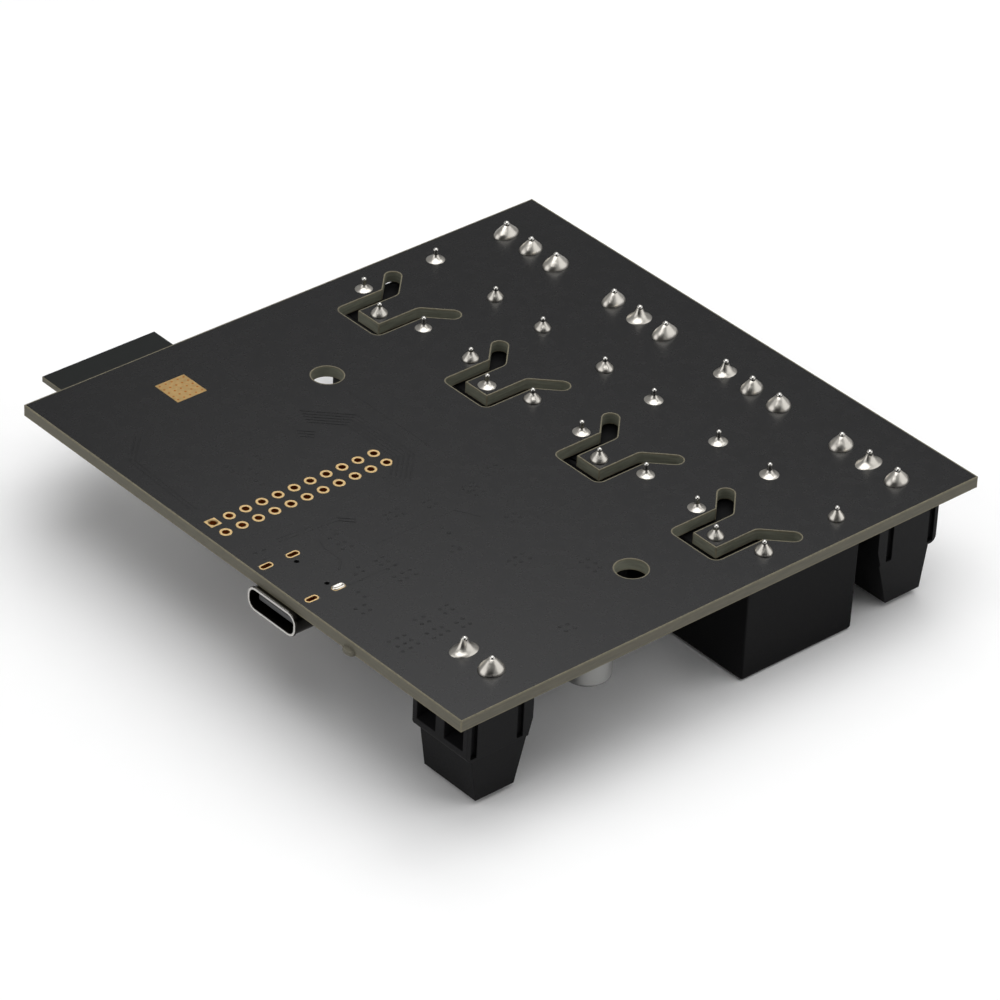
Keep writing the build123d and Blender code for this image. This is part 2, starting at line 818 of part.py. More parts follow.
def build():
    """Make every node."""
    save("board", [circuit_board()])
    save("solder_joints", solder_joints())
    case, pins = relay_case(), relay_pin_set()
    for channel in range(channel_count):
        y = channel_y(channel)
        save(f"relay_{channel + 1}", [hang(case, relay_centre_x, y)])
        save(f"relay_{channel + 1}_pins", [hang(pin, 0, y) for pin in pins])

    screw = clamp_screw()
    for name, (x, y, turn, poles) in terminal_sites().items():
        rows = [y + dy for dy in spread(poles, terminal_pitch)]
        save(name, [hang(housing(poles), x, y, turn)])
        save(f"{name}_contacts", [hang(clamp(), x, row, turn) for row in rows])
        for i, row in enumerate(rows):
            save(f"{name}_screw_{i + 1}", [hang(screw, x, row, turn)])

    save("wireless_module_board", [hang(module_board(), module_first_x, module_y)])
    save("wireless_module_shield", [hang(module_shield(), module_first_x, module_y)])
    save("cable_socket_shell", [hang(socket_shell(), 0, socket_centre_y)])
    save("cable_socket_insert", [hang(socket_insert(), 0, socket_centre_y)])
    save("capacitor_can", [hang(capacitor_can(), drive_x - can_from_drive, can_y)])
    save("capacitor_base", [hang(capacitor_base(), drive_x - can_from_drive, can_y)])
    for name, setback in button_setbacks.items():
        at = (middle_x, board_width - setback)
        save(f"{name}_button_body", [hang(button_body(), *at)])
        save(f"{name}_button_cap", [hang(button_cap(), *at)])
    for name, solids in small_parts().items():
        save(name, solids)


os.makedirs("parts", exist_ok=True)
build()
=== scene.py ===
"""Dresses the relay module board: finishes, solder, plating, screws and other fine detail."""
import json
import random
from math import atan2, cos, pi, radians, sin

import bpy
from mathutils import Matrix, Vector


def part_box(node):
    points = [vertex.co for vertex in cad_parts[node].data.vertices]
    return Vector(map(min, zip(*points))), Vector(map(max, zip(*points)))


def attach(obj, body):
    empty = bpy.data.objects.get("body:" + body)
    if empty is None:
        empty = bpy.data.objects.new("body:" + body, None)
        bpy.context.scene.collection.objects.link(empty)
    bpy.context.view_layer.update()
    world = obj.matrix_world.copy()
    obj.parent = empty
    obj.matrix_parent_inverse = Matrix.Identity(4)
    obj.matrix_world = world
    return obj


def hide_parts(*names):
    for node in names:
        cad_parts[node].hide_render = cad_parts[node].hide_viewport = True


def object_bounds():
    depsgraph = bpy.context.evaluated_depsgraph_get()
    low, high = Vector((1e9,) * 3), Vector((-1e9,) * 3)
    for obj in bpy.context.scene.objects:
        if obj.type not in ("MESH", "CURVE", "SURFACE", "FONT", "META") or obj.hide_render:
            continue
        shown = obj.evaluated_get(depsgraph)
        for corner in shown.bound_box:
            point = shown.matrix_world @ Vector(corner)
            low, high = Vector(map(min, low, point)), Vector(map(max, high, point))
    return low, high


bl_info = {
    "name": "Relay module board",
    "version": (1, 0, 0),
    "blender": (4, 5, 0),
    "location": "3D View > Sidebar > Relay board",
    "description": "Dresses the relay module board's frame with its finishes and fine detail",
    "category": "Object",
}

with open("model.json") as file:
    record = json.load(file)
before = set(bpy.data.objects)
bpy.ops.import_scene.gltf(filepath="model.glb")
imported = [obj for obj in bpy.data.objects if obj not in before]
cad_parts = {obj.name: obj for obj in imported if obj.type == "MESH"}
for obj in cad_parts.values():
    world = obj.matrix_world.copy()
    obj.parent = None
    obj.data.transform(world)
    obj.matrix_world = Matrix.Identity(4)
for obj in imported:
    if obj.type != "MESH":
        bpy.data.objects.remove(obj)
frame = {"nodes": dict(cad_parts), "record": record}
cad_low, cad_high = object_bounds()

MM = 0.001
DOUBLE = 0.002 * MM  # Vertices nearer to each other than this are one
TOUCH = 0.01 * MM  # Slack in a test of where a vertex lies
ROOT = "board_assembly"
CHANNELS = range(1, 5)
board_low, board_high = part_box("board")
UNDERSIDE = board_low.z
SOLDER_SIDE = board_high.z
relay_terminals = [f"relay_terminal_{channel}" for channel in CHANNELS]
terminal_poles = {"supply_terminal": 2, **{name: 3 for name in relay_terminals}}


# Sizes and shares that stay as they are
RIM_PROFILE = 0.88  # Squarer than a round edge, so that the rim shows as a strip
BARREL_WALL = 0.03 * MM
TRACK_RISE = 0.04 * MM
VIA_RISE = 0.025 * MM
VIA_STRAY = 0.12  # How far a via may lie from its place in the group, as a share of the pitch
REMNANT_REACH = 0.68 * MM
REMNANT_DROP = 0.12 * MM
REMNANT_LENGTH = 2.1 * MM
REMNANT_THICKNESS = 0.85 * MM
REMNANT_Y = 20.35 * MM
LEG_SLOT_WIDTH = 0.7 * MM
LEG_SLOT_LENGTH = 1.6 * MM
LEG_SOLDER_HEIGHT = 0.16 * MM
LEG_SOLDER_MARGIN = 0.06 * MM
HEAT_PAD_EDGE = 0.02 * MM
HEAT_VIAS = 5  # Holes along each side of the heat pad
HEAT_VIA_RADIUS = 0.12 * MM
HEAT_VIA_RISE = 0.004 * MM
JOINT_ANGLE = 60  # Degrees below which a joint's facets shade as one
TERMINAL_JOINT = 0.9  # A joint taller than this share of the tallest one is a terminal's
PIN_SHOULDER = 0.35 * MM  # How far below the board a terminal's square pin turns round
RELAY_SEAM_HEIGHT = 1.0 * MM
RELAY_SEAM_WIDTH = 0.12 * MM
RELAY_SEAM_DEPTH = 0.07 * MM
SCREW_HEAD_HEIGHT = 1.7 * MM
SCREW_HEAD_BEVEL = 0.15 * MM
SCREW_HEAD_SHOULDER = 0.1 * MM
MODULE_RIM = 0.05 * MM
SHIELD_EDGE = 0.22 * MM
ANTENNA_GAP = 1.2 * MM  # From the shield
ANTENNA_END = 0.9 * MM
ANTENNA_SIDE = 1.5 * MM
SOCKET_MARGIN = 1.0 * MM  # Holes of the board up to this far past the socket's back are the socket's
SOCKET_BRIGHT = 0.1 * MM  # How far above the board's underside the socket's legs turn bright
TONGUE_THICKNESS = 0.7 * MM
CONTACT_LENGTH = 3.4 * MM
CONTACT_SETBACK = 0.35 * MM
THIN = 0.02 * MM  # How far a flat track or contact stands out
CAN_CRIMP = 1.0 * MM
CAN_NECK_REACH = 0.35 * MM  # From the neck's middle to where the can is at its full width
CAN_NECK_HALF = 0.12 * MM
CAN_DISH = 0.12 * MM
CAN_PRINT = 0.45  # Where the dark segment starts, as a share of the can's radius
CAN_PRINT_DEPTH = 0.2 * MM
FOOT_EDGE = 0.12 * MM
BUTTON_EDGE = 0.08 * MM
BUTTON_PLATE = 0.16 * MM
CAP_EDGE = 0.25 * MM
INDUCTOR_EDGE = 0.25 * MM
# From the middle of a chip to the side of its moulded body, past which its leads stand out
CHIP_HALF = 1.93 * MM
REGULATOR_HALF = 1.73 * MM
TRANSISTOR_HALF = 0.64 * MM
# From the middle of a small part to where its metal ends start, as a share of its length
BARE_END = 0.3
LIGHT_END = 0.31
STRIPE_START = 0.28  # From the middle of a diode, as a share of its length
DIODE_LEAD_HEIGHT = 0.25 * MM
LENS_CLEARNESS = 0.35
FLOOR_GAP = 0.02 * MM
FLOOR_SIZE = 8.0
FLOOR_FADE = 0.13, 0.32  # From the floor's middle, in metres, where it starts and ends to turn plain white
BACKDROP_RADIUS = 6.0
FLAG_SIZE = 0.8
FLAG_WAY = (-0.65, -0.7, 0.62)
# Way from the board's middle in lamp distances, then width and depth, of each lamp
LAMPS = {
    "overhead": ((-0.05, -0.1, 1.05), 0.6, 0.6),
    "behind": ((0.47, 0.22, 0.78), 0.5, 0.28),
    "left": ((-0.9, 0.25, 0.35), 0.6, 0.6),
    "right": ((0.7, -0.65, 0.35), 0.6, 0.6),
}


# Properties

def size(description, millimetres):
    """Length that a user may change, given in millimetres."""
    values = {"default": millimetres * MM, "min": 0.0, "unit": "LENGTH", "precision": 5}
    return bpy.props.FloatProperty, {"description": description, **values}


def count(description, number):
    """Number of like things that a user may change."""
    return bpy.props.IntProperty, {"description": description, "default": number, "min": 1}


def level(description, value, top=1.0):
    """Plain value between nought and a top."""
    return bpy.props.FloatProperty, {"description": description, "default": value, "min": 0.0, "max": top}


def shade(red, green, blue):
    """Colour as a shader takes it, from the usual values of 0 to 255."""
    values = [value / 255 for value in (red, green, blue)]
    return [v / 12.92 if v < 0.04 else ((v + 0.055) / 1.055) ** 2.4 for v in values]


def colour(description, *parts):
    """Colour that a user may change, given from 0 to 255."""
    values = {"default": shade(*parts), "min": 0.0, "max": 1.0, "subtype": "COLOR"}
    return bpy.props.FloatVectorProperty, {"description": description, **values}


def triple(description, value, **kind):
    """Three values that belong together."""
    return bpy.props.FloatVectorProperty, {"description": description, "default": value, **kind}


def title(key):
    """Name that a user reads, from a key."""
    return key.replace("_", " ").capitalize()


def named(group):
    """Make the properties of a group, each named after its key."""
    for key, (kind, values) in group.__annotations__.items():
        group.__annotations__[key] = kind(name=title(key), **values)
    return group


@named
class RELAYBOARD_PG_board(bpy.types.PropertyGroup):
    """Sizes of the bare board's finish"""

    rim_width: size("Bare rim along every milled edge", 0.17)
    ring_width: size("Gold ring round a header hole", 0.31)
    ring_rise: size("Height of the plating over the mask", 0.035)
    leg_pad_width: size("Width of the gold pad round a socket leg's slot", 1.06)
    heat_pad_length: size("Bare gold pad under the module, along X", 4.65)
    heat_pad_width: size("Bare gold pad under the module, along Y", 4.78)
    heat_pad_x: size("Middle of the gold pad from the board's corner", 18.03)
    heat_pad_y: size("Middle of the gold pad from the board's corner", 76.04)
    heat_via_pitch: size("Spacing of the holes in the gold pad", 0.95)
    via_diameter: size("Covered via in the mask", 0.5)
    via_pitch: size("Spacing of covered vias in a group", 1.15)
    track_width: size("Covered track in the mask", 0.26)
    track_pitch: size("Spacing of tracks that run side by side", 0.62)


@named
class RELAYBOARD_PG_joints(bpy.types.PropertyGroup):
    """Sizes of the solder and of the pins"""

    relay_pad_radius: size("Foot of the solder at a relay's pin", 1.2)
    terminal_pad_radius: size("Foot of the solder at a terminal's pin", 1.42)
    relay_joint_height: size("Height of the solder at a relay's pin", 0.85)
    terminal_joint_height: size("Height of the solder at a terminal's pin", 1.6)
    full_share: level("Share of the terminals' joints that bulge instead of flare", 0.3)
    upright_share: level("Share of the relays' joints that stand up narrow", 0.5)
    relay_pin_radius: size("Round end of a relay's pin", 0.34)
    terminal_pin_radius: size("Round end of a terminal's pin", 0.4)
    terminal_stretch: level("Length of a terminal's pad over its width", 1.3, 3.0)
    unevenness: level("Largest change of a joint's size from the next one", 0.09)
    sides: count("Steps round a joint or pin", 28)


@named
class RELAYBOARD_PG_cases(bpy.types.PropertyGroup):
    """Sizes of moulded edges, seams and screws"""

    relay_edge: size("Rounding of a relay case's edges", 0.22)
    terminal_edge: size("Rounding of a terminal block's edges", 0.09)
    screw_radius: size("Outside of the thread", 1.33)
    screw_pitch: size("Distance from thread to thread", 0.5)
    screw_thread: size("Depth of the thread", 0.22)
    screw_slot_width: size("Width of the slot in a screw's head", 0.7)
    screw_slot_depth: size("Depth of the slot in a screw's head", 0.9)
    screw_sides: count("Steps round a screw", 28)


@named
class RELAYBOARD_PG_small_parts(bpy.types.PropertyGroup):
    """Sizes on the component side"""

    chip_edge: size("Rounding of a moulded chip's edges", 0.05)
    metal_edge: size("Rounding of the cable socket's folded shell", 0.08)
    can_groove_depth: size("Crimped neck of the aluminium can", 0.3)
    can_rim: size("Rounding of the can's end", 0.55)
    stripe_width: size("Pale stripe across a diode", 0.6)
    antenna_width: size("Width of the module's winding track", 0.5)
    antenna_turns: count("Bends of the winding track", 9)
    contact_pitch: size("Spacing of the contacts on the socket's tongue", 0.5)
    contact_width: size("Width of a contact on the tongue", 0.25)
    contact_count: count("Contacts on each face of the tongue", 12)


GRAIN_UP = (0.5, 0.5, 4)
# Description, colour, roughness, metal, specular, mottle, grain, relief and stretch of each finish
FINISHES = {
    "mask": ("Dark lacquer of both board faces", (15, 15, 16), 0.27, 0, 0.33, 0.05, 1.6),
    "via": ("Mask over a via", (12, 12, 13), 0.5, 0, 0.3, 0.08, 0.2),
    "laminate": ("Sawn edge of the board", (94, 91, 80), 0.7, 0, 0.25, 0.16, 1.1, 0.012, GRAIN_UP),
    "milled_laminate": (
        "Walls of the milled slots and holes", (112, 113, 100), 0.75, 0, 0.15, 0.2, 1.1, 0.012, GRAIN_UP
    ),
    "plated_barrel": ("Plating inside a hole", (172, 104, 38), 0.45, 1, 0.5, 0.1, 0.2, 0.004),
    "module_mask": ("Lacquer of the wireless module", (15, 18, 17), 0.4, 0, 0.2, 0.1, 1.2),
    "antenna": ("Track under the module's lacquer", (44, 44, 38), 0.45, 0, 0.3, 0.1, 0.4),
    "rim": ("Bare laminate along the mask's edge", (108, 103, 86), 0.7, 0, 0.25, 0.2, 0.5, 0.01),
    "gold": ("Plated copper", (218, 188, 136), 0.42, 1, 0.5, 0.07, 0.2, 0.004),
    "bare_gold": ("Large bare pad", (184, 154, 105), 0.48, 1, 0.5, 0.12, 0.5, 0.01),
    "solder": ("Bright solder", (206, 202, 194), 0.3, 1, 0.5, 0.06, 0.9, 0.03),
    "tin": ("Tinned leads and pins", (205, 203, 198), 0.24, 1, 0.5, 0.06, 0.3, 0.006),
    "steel": ("Plated steel", (190, 188, 184), 0.22, 1, 0.5, 0.05, 0.3, 0.004),
    "shield": ("Cover of the wireless module", (190, 188, 184), 0.34, 1, 0.5, 0.05, 0.2, 0.004, (1, 0.06, 1)),
    "dark_steel": ("Outside of the cable socket", (62, 60, 57), 0.3, 1, 0.5, 0.06, 0.25, 0.004),
    "relay_plastic": ("Relay cases", (12, 12, 13), 0.5, 0, 0.07, 0.1, 0.25, 0.006),
    "housing": ("Terminal blocks", (20, 20, 21), 0.55, 0, 0.1, 0.1, 0.22, 0.008),
    "moulding": ("Buttons, capacitor foot and socket pegs", (20, 20, 21), 0.5, 0, 0.35, 0.1, 0.2, 0.005),
    "tongue": ("Socket tongue", (52, 52, 53), 0.4, 0, 0.5, 0.08, 0.2, 0.004),
    "aluminium": ("Capacitor can", (142, 142, 140), 0.45, 1, 0.5, 0.04, 0.3, 0.003, (1, 1, 8)),
    "print": ("Dark segment on the capacitor can", (40, 40, 42), 0.5, 0, 0.5, 0.06, 0.2),
    "ferrite": ("Power inductor", (66, 66, 68), 0.7, 0, 0.35, 0.22, 0.18, 0.012),
    "chip": ("Moulded chips", (33, 33, 35), 0.6, 0, 0.35, 0.12, 0.12, 0.006),
    "stripe": ("Stripe on a diode", (176, 176, 172), 0.6, 0, 0.5, 0.05, 0.12),
    "lens": ("Indicator lights", (226, 224, 205), 0.18, 0, 0.5, 0.03, 0.3),
    "ceramic": ("Tan body of a ceramic capacitor", (176, 140, 98), 0.55, 0, 0.5, 0.08, 0.15, 0.003),
    "cap": ("Button caps", (226, 223, 214), 0.45, 0, 0.5, 0.03, 0.2, 0.003),
}


@named
class RELAYBOARD_PG_colours(bpy.types.PropertyGroup):
    """Colours of the floor and of every finish"""

    floor: colour("Plain floor", 250, 250, 250)
    __annotations__.update({key: colour(about, *base) for key, (about, base, *_) in FINISHES.items()})


CAMERA_PLACE = (-0.373819, -0.416163, 0.380627)
CAMERA_TURN = [radians(turn) for turn in (56.2208, -2.262, -40.7001)]


@named
class RELAYBOARD_PG_stage(bpy.types.PropertyGroup):
    """Camera and light"""

    camera_place: triple("Place of the camera", CAMERA_PLACE, subtype="TRANSLATION", unit="LENGTH")
    camera_turn: triple("Turn of the camera about each axis", CAMERA_TURN, subtype="EULER")
    lens: level("Focal length in millimetres on a 36 mm sensor", 191.42, 1000.0)
    room_light: level("Strength of the light from all round", 0.28, 5.0)
    overhead: level("Power of the lamp overhead, in watts", 2.5, 50.0)
    behind: level("Power of the lamp behind the board, in watts", 0.92, 50.0)
    left: level("Power of the lamp at the left, in watts", 1.1, 50.0)
    right: level("Power of the lamp at the right, in watts", 1.0, 50.0)
    lamp_distance: size("From the board's middle to each lamp", 600.0)


# Finishes

NOISE_RANGE = 0.3, 0.7  # What the noise spans, save for its rare peaks


def new_node(tree, kind, values=None, **settings):
    """Shader node with values for its sockets and with settings of its own."""
    node = tree.nodes.new(f"ShaderNode{kind}")
    for name, value in (values or {}).items():
        node.inputs[name].default_value = value
    for name, value in settings.items():
        setattr(node, name, value)
    return node


def finish(name, base, roughness, metallic, specular, mottle, grain, relief=0.0, stretch=(1, 1, 1)):
    """Finish with a fine mottle in its colour and gloss; grain and relief are in millimetres."""
    material = bpy.data.materials.new(name)
    material.use_nodes = True
    tree = material.node_tree
    link = tree.links.new
    shader = tree.nodes["Principled BSDF"]
    shader.inputs["Metallic"].default_value = metallic
    shader.inputs["Specular IOR Level"].default_value = specular
    place = new_node(tree, "TexCoord")
    mapping = new_node(tree, "Mapping", {"Scale": [part / (grain * MM) for part in stretch]})
    noise = new_node(tree, "TexNoise", {"Scale": 1.0, "Detail": 3.0})
    ramp = new_node(tree, "ValToRGB")
    least, most = NOISE_RANGE
    spread = 1 - mottle, 1 + mottle
    for end, position, share in zip(ramp.color_ramp.elements, NOISE_RANGE, spread):
        end.position = position
        end.color = [min(1.0, part * share) for part in base] + [1]
    low, high = [min(1.0, roughness * share) for share in spread]
    span = {"From Min": least, "From Max": most, "To Min": low, "To Max": high}
    gloss = new_node(tree, "MapRange", span)
    link(place.outputs["Object"], mapping.inputs["Vector"])
    link(mapping.outputs["Vector"], noise.inputs["Vector"])
    link(noise.outputs["Fac"], ramp.inputs["Fac"])
    link(ramp.outputs["Color"], shader.inputs["Base Color"])
    link(noise.outputs["Fac"], gloss.inputs["Value"])
    link(gloss.outputs["Result"], shader.inputs["Roughness"])
    if relief:
        bump = new_node(tree, "Bump", {"Distance": relief * MM})
        link(noise.outputs["Fac"], bump.inputs["Height"])
        link(bump.outputs["Normal"], shader.inputs["Normal"])
    return material


def make_finishes(colours):
    """Every finish on the board, by its key."""
    made = {key: finish(title(key), getattr(colours, key), *rest) for key, (_, _, *rest) in FINISHES.items()}
    shader = made["lens"].node_tree.nodes["Principled BSDF"]
    shader.inputs["Transmission Weight"].default_value = LENS_CLEARNESS
    return made


finishes = {}


def wear(piece, *names):
    """Give a piece its finishes, the first for all faces that aren't painted with a later one."""
    if not finishes:
        finishes.update(make_finishes(bpy.context.scene.relay_board_colours))
    piece.data.materials.clear()
    for name in names:
        piece.data.materials.append(finishes[name])


def paint(piece, index, wanted):
    """Give one of a piece's finishes to the faces that a test of middle and normal picks."""
    for face in piece.data.polygons:
        if wanted(face.center, face.normal):
            face.material_index = index


# Modelling

def only(piece):
    """Select one piece alone and make it active."""
    bpy.ops.object.select_all(action="DESELECT")
    piece.select_set(True)
    bpy.context.view_layer.objects.active = piece


def settle(piece):
    """Put a piece's place into its mesh, so that its object stands at the origin."""
    only(piece)
    bpy.ops.object.transform_apply(location=True, rotation=True, scale=True)
    return piece


def smooth(piece, angle=32):
    """Shade a piece smooth, save at edges sharper than an angle, with its large faces kept flat."""
    only(piece)
    bpy.ops.object.shade_smooth_by_angle(angle=radians(angle))
    flat = piece.modifiers.new("Flat faces", "WEIGHTED_NORMAL")
    flat.keep_sharp = True
    bpy.ops.object.modifier_apply(modifier=flat.name)
    return piece


def edited(piece):
    """Open a piece's mesh for editing, with all of it selected."""
    only(piece)
    bpy.ops.object.mode_set(mode="EDIT")
    bpy.ops.mesh.select_mode(type="VERT")
    bpy.ops.mesh.select_all(action="SELECT")


def done():
    """Close the mesh that is being edited."""
    bpy.ops.object.mode_set(mode="OBJECT")


def copy_of(node, name):
    """New piece with a CAD node's shape, its doubles merged and its flat faces made whole."""
    piece = bpy.data.objects.new(name, frame["nodes"][node].data.copy())
    bpy.context.scene.collection.objects.link(piece)
    piece.data.name = name
    edited(piece)
    bpy.ops.mesh.customdata_custom_splitnormals_clear()
    bpy.ops.mesh.remove_doubles(threshold=DOUBLE)
    bpy.ops.mesh.dissolve_limited(angle_limit=radians(0.5))
    done()
    return piece


def soften(piece, width, segments=2, angle=25, rim=-1, profile=0.5, slide=True):
    """Bevel a piece's sharp edges; rim is the number of the finish that the bevels get."""
    bevel = piece.modifiers.new("Soft edges", "BEVEL")
    bevel.width = width
    bevel.segments = segments
    bevel.limit_method = "ANGLE"
    bevel.angle_limit = radians(angle)
    bevel.material = rim
    bevel.profile = profile
    bevel.use_clamp_overlap = False
    bevel.loop_slide = slide
    only(piece)
    bpy.ops.object.modifier_apply(modifier=bevel.name)
    return smooth(piece)


def turned(name, outline, sides, foot=(0, 0, 0)):
    """Turned piece about an upright axis, from points of radius and of height above its foot."""
    axis = Vector(foot)
    radius, height = outline[0]
    bpy.ops.object.select_all(action="DESELECT")
    bpy.ops.mesh.primitive_plane_add(size=MM, location=axis + Vector((radius, 0, height)))
    piece = bpy.context.object
    piece.name = piece.data.name = name
    edited(piece)
    bpy.ops.mesh.merge(type="CENTER")
    for (r0, h0), (r1, h1) in zip(outline, outline[1:]):
        bpy.ops.mesh.extrude_vertices_move(TRANSFORM_OT_translate={"value": (r1 - r0, 0, h1 - h0)})
    bpy.ops.mesh.select_all(action="SELECT")
    bpy.ops.mesh.spin(steps=sides, angle=2 * pi, center=axis, axis=(0, 0, 1))
    bpy.ops.mesh.select_all(action="SELECT")
    bpy.ops.mesh.remove_doubles(threshold=DOUBLE)
    bpy.ops.mesh.normals_make_consistent(inside=False)
    done()
    settle(piece)
    return smooth(piece)


def block(name, low, high):
    """Six-sided start of a piece between two corners."""
    low, high = Vector(low), Vector(high)
    bpy.ops.object.select_all(action="DESELECT")
    bpy.ops.mesh.primitive_cube_add(size=1, location=(low + high) / 2, scale=high - low)
    piece = bpy.context.object
    piece.name = piece.data.name = name
    return settle(piece)


def joined(pieces, name):
    """One piece from several."""
    only(pieces[0])
    for piece in pieces:
        piece.select_set(True)
    if len(pieces) > 1:
        bpy.ops.object.join()
    piece = bpy.context.object
    piece.name = piece.data.name = name
    return piece


def placed(master, matrix):
    """Copy of a master with its own mesh, put somewhere."""
    copy = master.copy()
    copy.data = master.data.copy()
    copy.data.transform(matrix)
    bpy.context.scene.collection.objects.link(copy)
    return copy


def repeated(master, matrices, name):
    """One piece made of copies of a master, which is used up."""
    copies = [placed(master, matrix) for matrix in matrices]
    bpy.data.objects.remove(master)
    return joined(copies, name)


def at(place, turn=0.0, stretch=(1, 1, 1)):
    """Matrix that stretches, turns about Z and then moves a master."""
    return Matrix.Translation(place) @ Matrix.Rotation(turn, 4, "Z") @ Matrix.Diagonal((*stretch, 1))


def edit_some(piece, kind, parts, wanted):
    """Open a piece's mesh for editing with those of its vertices or faces that a test picks."""
    edited(piece)
    bpy.ops.mesh.select_all(action="DESELECT")
    done()
    for part in parts:
        part.select = wanted(part)
    bpy.ops.object.mode_set(mode="EDIT")
    bpy.ops.mesh.select_mode(type=kind)


def cut_with(piece, cutter):
    """Take a cutter's shape out of a piece; the cutter is used up."""
    cut = piece.modifiers.new("Cut", "BOOLEAN")
    cut.operation = "DIFFERENCE"
    cut.object = cutter
    only(piece)
    bpy.ops.object.modifier_apply(modifier=cut.name)
    bpy.data.objects.remove(cutter)


def cut_at(piece, point, normal, clear=False):
    """Cut a piece's faces along a plane; clear takes away what lies on the normal's side."""
    edited(piece)
    bpy.ops.mesh.bisect(plane_co=point, plane_no=normal, use_fill=clear, clear_outer=clear)
    done()


def solids(node):
    """The loose solids of a CAD node, as new pieces."""
    piece = copy_of(node, "loose")
    edited(piece)
    bpy.ops.mesh.separate(type="LOOSE")
    done()
    return [obj for obj in bpy.context.selected_objects if obj.type == "MESH"]


def extent(piece):
    """Lowest and highest corner of a settled piece."""
    corners = [vertex.co for vertex in piece.data.vertices]
    low = Vector([min(corner[axis] for corner in corners) for axis in range(3)])
    high = Vector([max(corner[axis] for corner in corners) for axis in range(3)])
    return low, high


def hold_inside(piece, low, high):
    """Bring what a bevel pushed past a box back onto it."""
    for vertex in piece.data.vertices:
        vertex.co = [min(max(part, least), most) for part, least, most in zip(vertex.co, low, high)]
    smooth(piece)


def solid_boxes(node):
    """Lowest and highest corner of each loose solid in a CAD node."""
    pieces = solids(node)
    boxes = [extent(piece) for piece in pieces]
    for piece in pieces:
        bpy.data.objects.remove(piece)
    return boxes


def present(piece, slot, *replaced, body=ROOT):
    """Let a finished piece ride on its body, in place of the nodes that it stands for."""
    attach(piece, body)
    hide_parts(*replaced)


def softened_copy(node, name, slot, finish_name, width, segments=2, angle=25):
    """Present a copy of a CAD node in one finish, with its edges softened."""
    piece = copy_of(node, name)
    wear(piece, finish_name)
    soften(piece, width, segments=segments, angle=angle)
    present(piece, slot, node)


def foot_of(box, z=None):
    """Middle of a box in plan, at its own foot or at a height."""
    low, high = box
    return Vector(((low.x + high.x) / 2, (low.y + high.y) / 2, low.z if z is None else z))


def rounded_end(radius, edge, steps):
    """Points of radius and height for the rounded lower end of a turned piece."""
    turns = [pi / 2 * step / steps for step in range(steps + 1)]
    return [(radius - edge * (1 - sin(turn)), edge * (1 - cos(turn))) for turn in turns]


def scaled(shares, width, height):
    """Outline of a turned piece from shares of its width and height."""
    return [(width * share, height * rise) for share, rise in shares]


def is_wall(normal):
    """Whether a face stands upright."""
    return abs(normal.z) < 0.3


def on_board(x, y, z=SOLDER_SIDE):
    """Point given in metres from the board's corner."""
    return Vector((board_low.x + x, board_low.y + y, z))


# The board

def make_board(sizes):
    """Laminate between two mask faces, with bare rims along what is milled."""
    board = copy_of("board", "board_laminate")
    wear(board, "mask", "laminate", "rim", "milled_laminate", "moulding")
    edge = 2 * sizes.rim_width
    low, high = board_low, board_high
    socket_low, socket_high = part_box("cable_socket_shell")

    def inside(spot):
        return low.x + edge < spot.x < high.x - edge and low.y + edge < spot.y < high.y - edge

    def at_socket(spot):
        along = low.x + edge < spot.x < socket_high.x + SOCKET_MARGIN
        return along and socket_low.y < spot.y < socket_high.y

    def level_face(normal):
        return abs(normal.z) > 0.98

    paint(board, 1, lambda middle, normal: is_wall(normal))
    paint(board, 3, lambda middle, normal: is_wall(normal) and inside(middle))
    soften(board, sizes.rim_width, segments=4, rim=2, profile=RIM_PROFILE, slide=False)
    hold_inside(board, low, high)
    paint(board, 0, lambda middle, normal: level_face(normal) and at_socket(middle))
    paint(board, 4, lambda middle, normal: not level_face(normal) and at_socket(middle))
    present(board, "board", "board")


def make_remnant():
    """Stub of a break-off tab at the socket's edge."""
    half = REMNANT_LENGTH / 2
    shares = (0, 0), (0.9, 0), (1, 0.2), (0.96, 0.7), (0, 1)
    stub = turned("stub", scaled(shares, half, REMNANT_THICKNESS), 32)
    wear(stub, "laminate")
    place = on_board(0, REMNANT_Y, UNDERSIDE - REMNANT_DROP)
    stub = repeated(stub, [at(place, stretch=(REMNANT_REACH / half, 1, 1))], "edge_remnant")
    present(stub, "board")


# Corners of covered tracks from the board's corner in millimetres, with how many run side by side
TRACKS = (
    (((12.8, 62.9), (26.8, 62.9), (31.9, 57.8), (31.9, 46.6), (27.6, 42.3), (25.4, 42.3)), 5),
    (((15.6, 59.6), (23.6, 59.6), (25.2, 58.0)), 3),
    (((13.7, 70.1), (7.0, 70.1), (3.4, 66.5), (2.8, 53.4)), 2),
    (((6.5, 42.3), (15.2, 41.5), (16.9, 39.8)), 2),
    (((15.7, 34.2), (27.8, 34.0), (29.4, 31.0)), 1),
    (((7.4, 29.4), (14.9, 29.4)), 1),
    (((10.5, 38.9), (9.9, 37.3), (9.9, 34.1), (8.4, 32.6)), 1),
    (((34.6, 63.0), (34.6, 47.0)), 1),
    (((53.8, 76.2), (72.8, 76.2)), 1),
    (((53.2, 31.4), (72.4, 31.4)), 1),
    (((56.6, 13.9), (71.0, 13.9)), 1),
    (((35.0, 27.4), (41.5, 27.4)), 2),
)
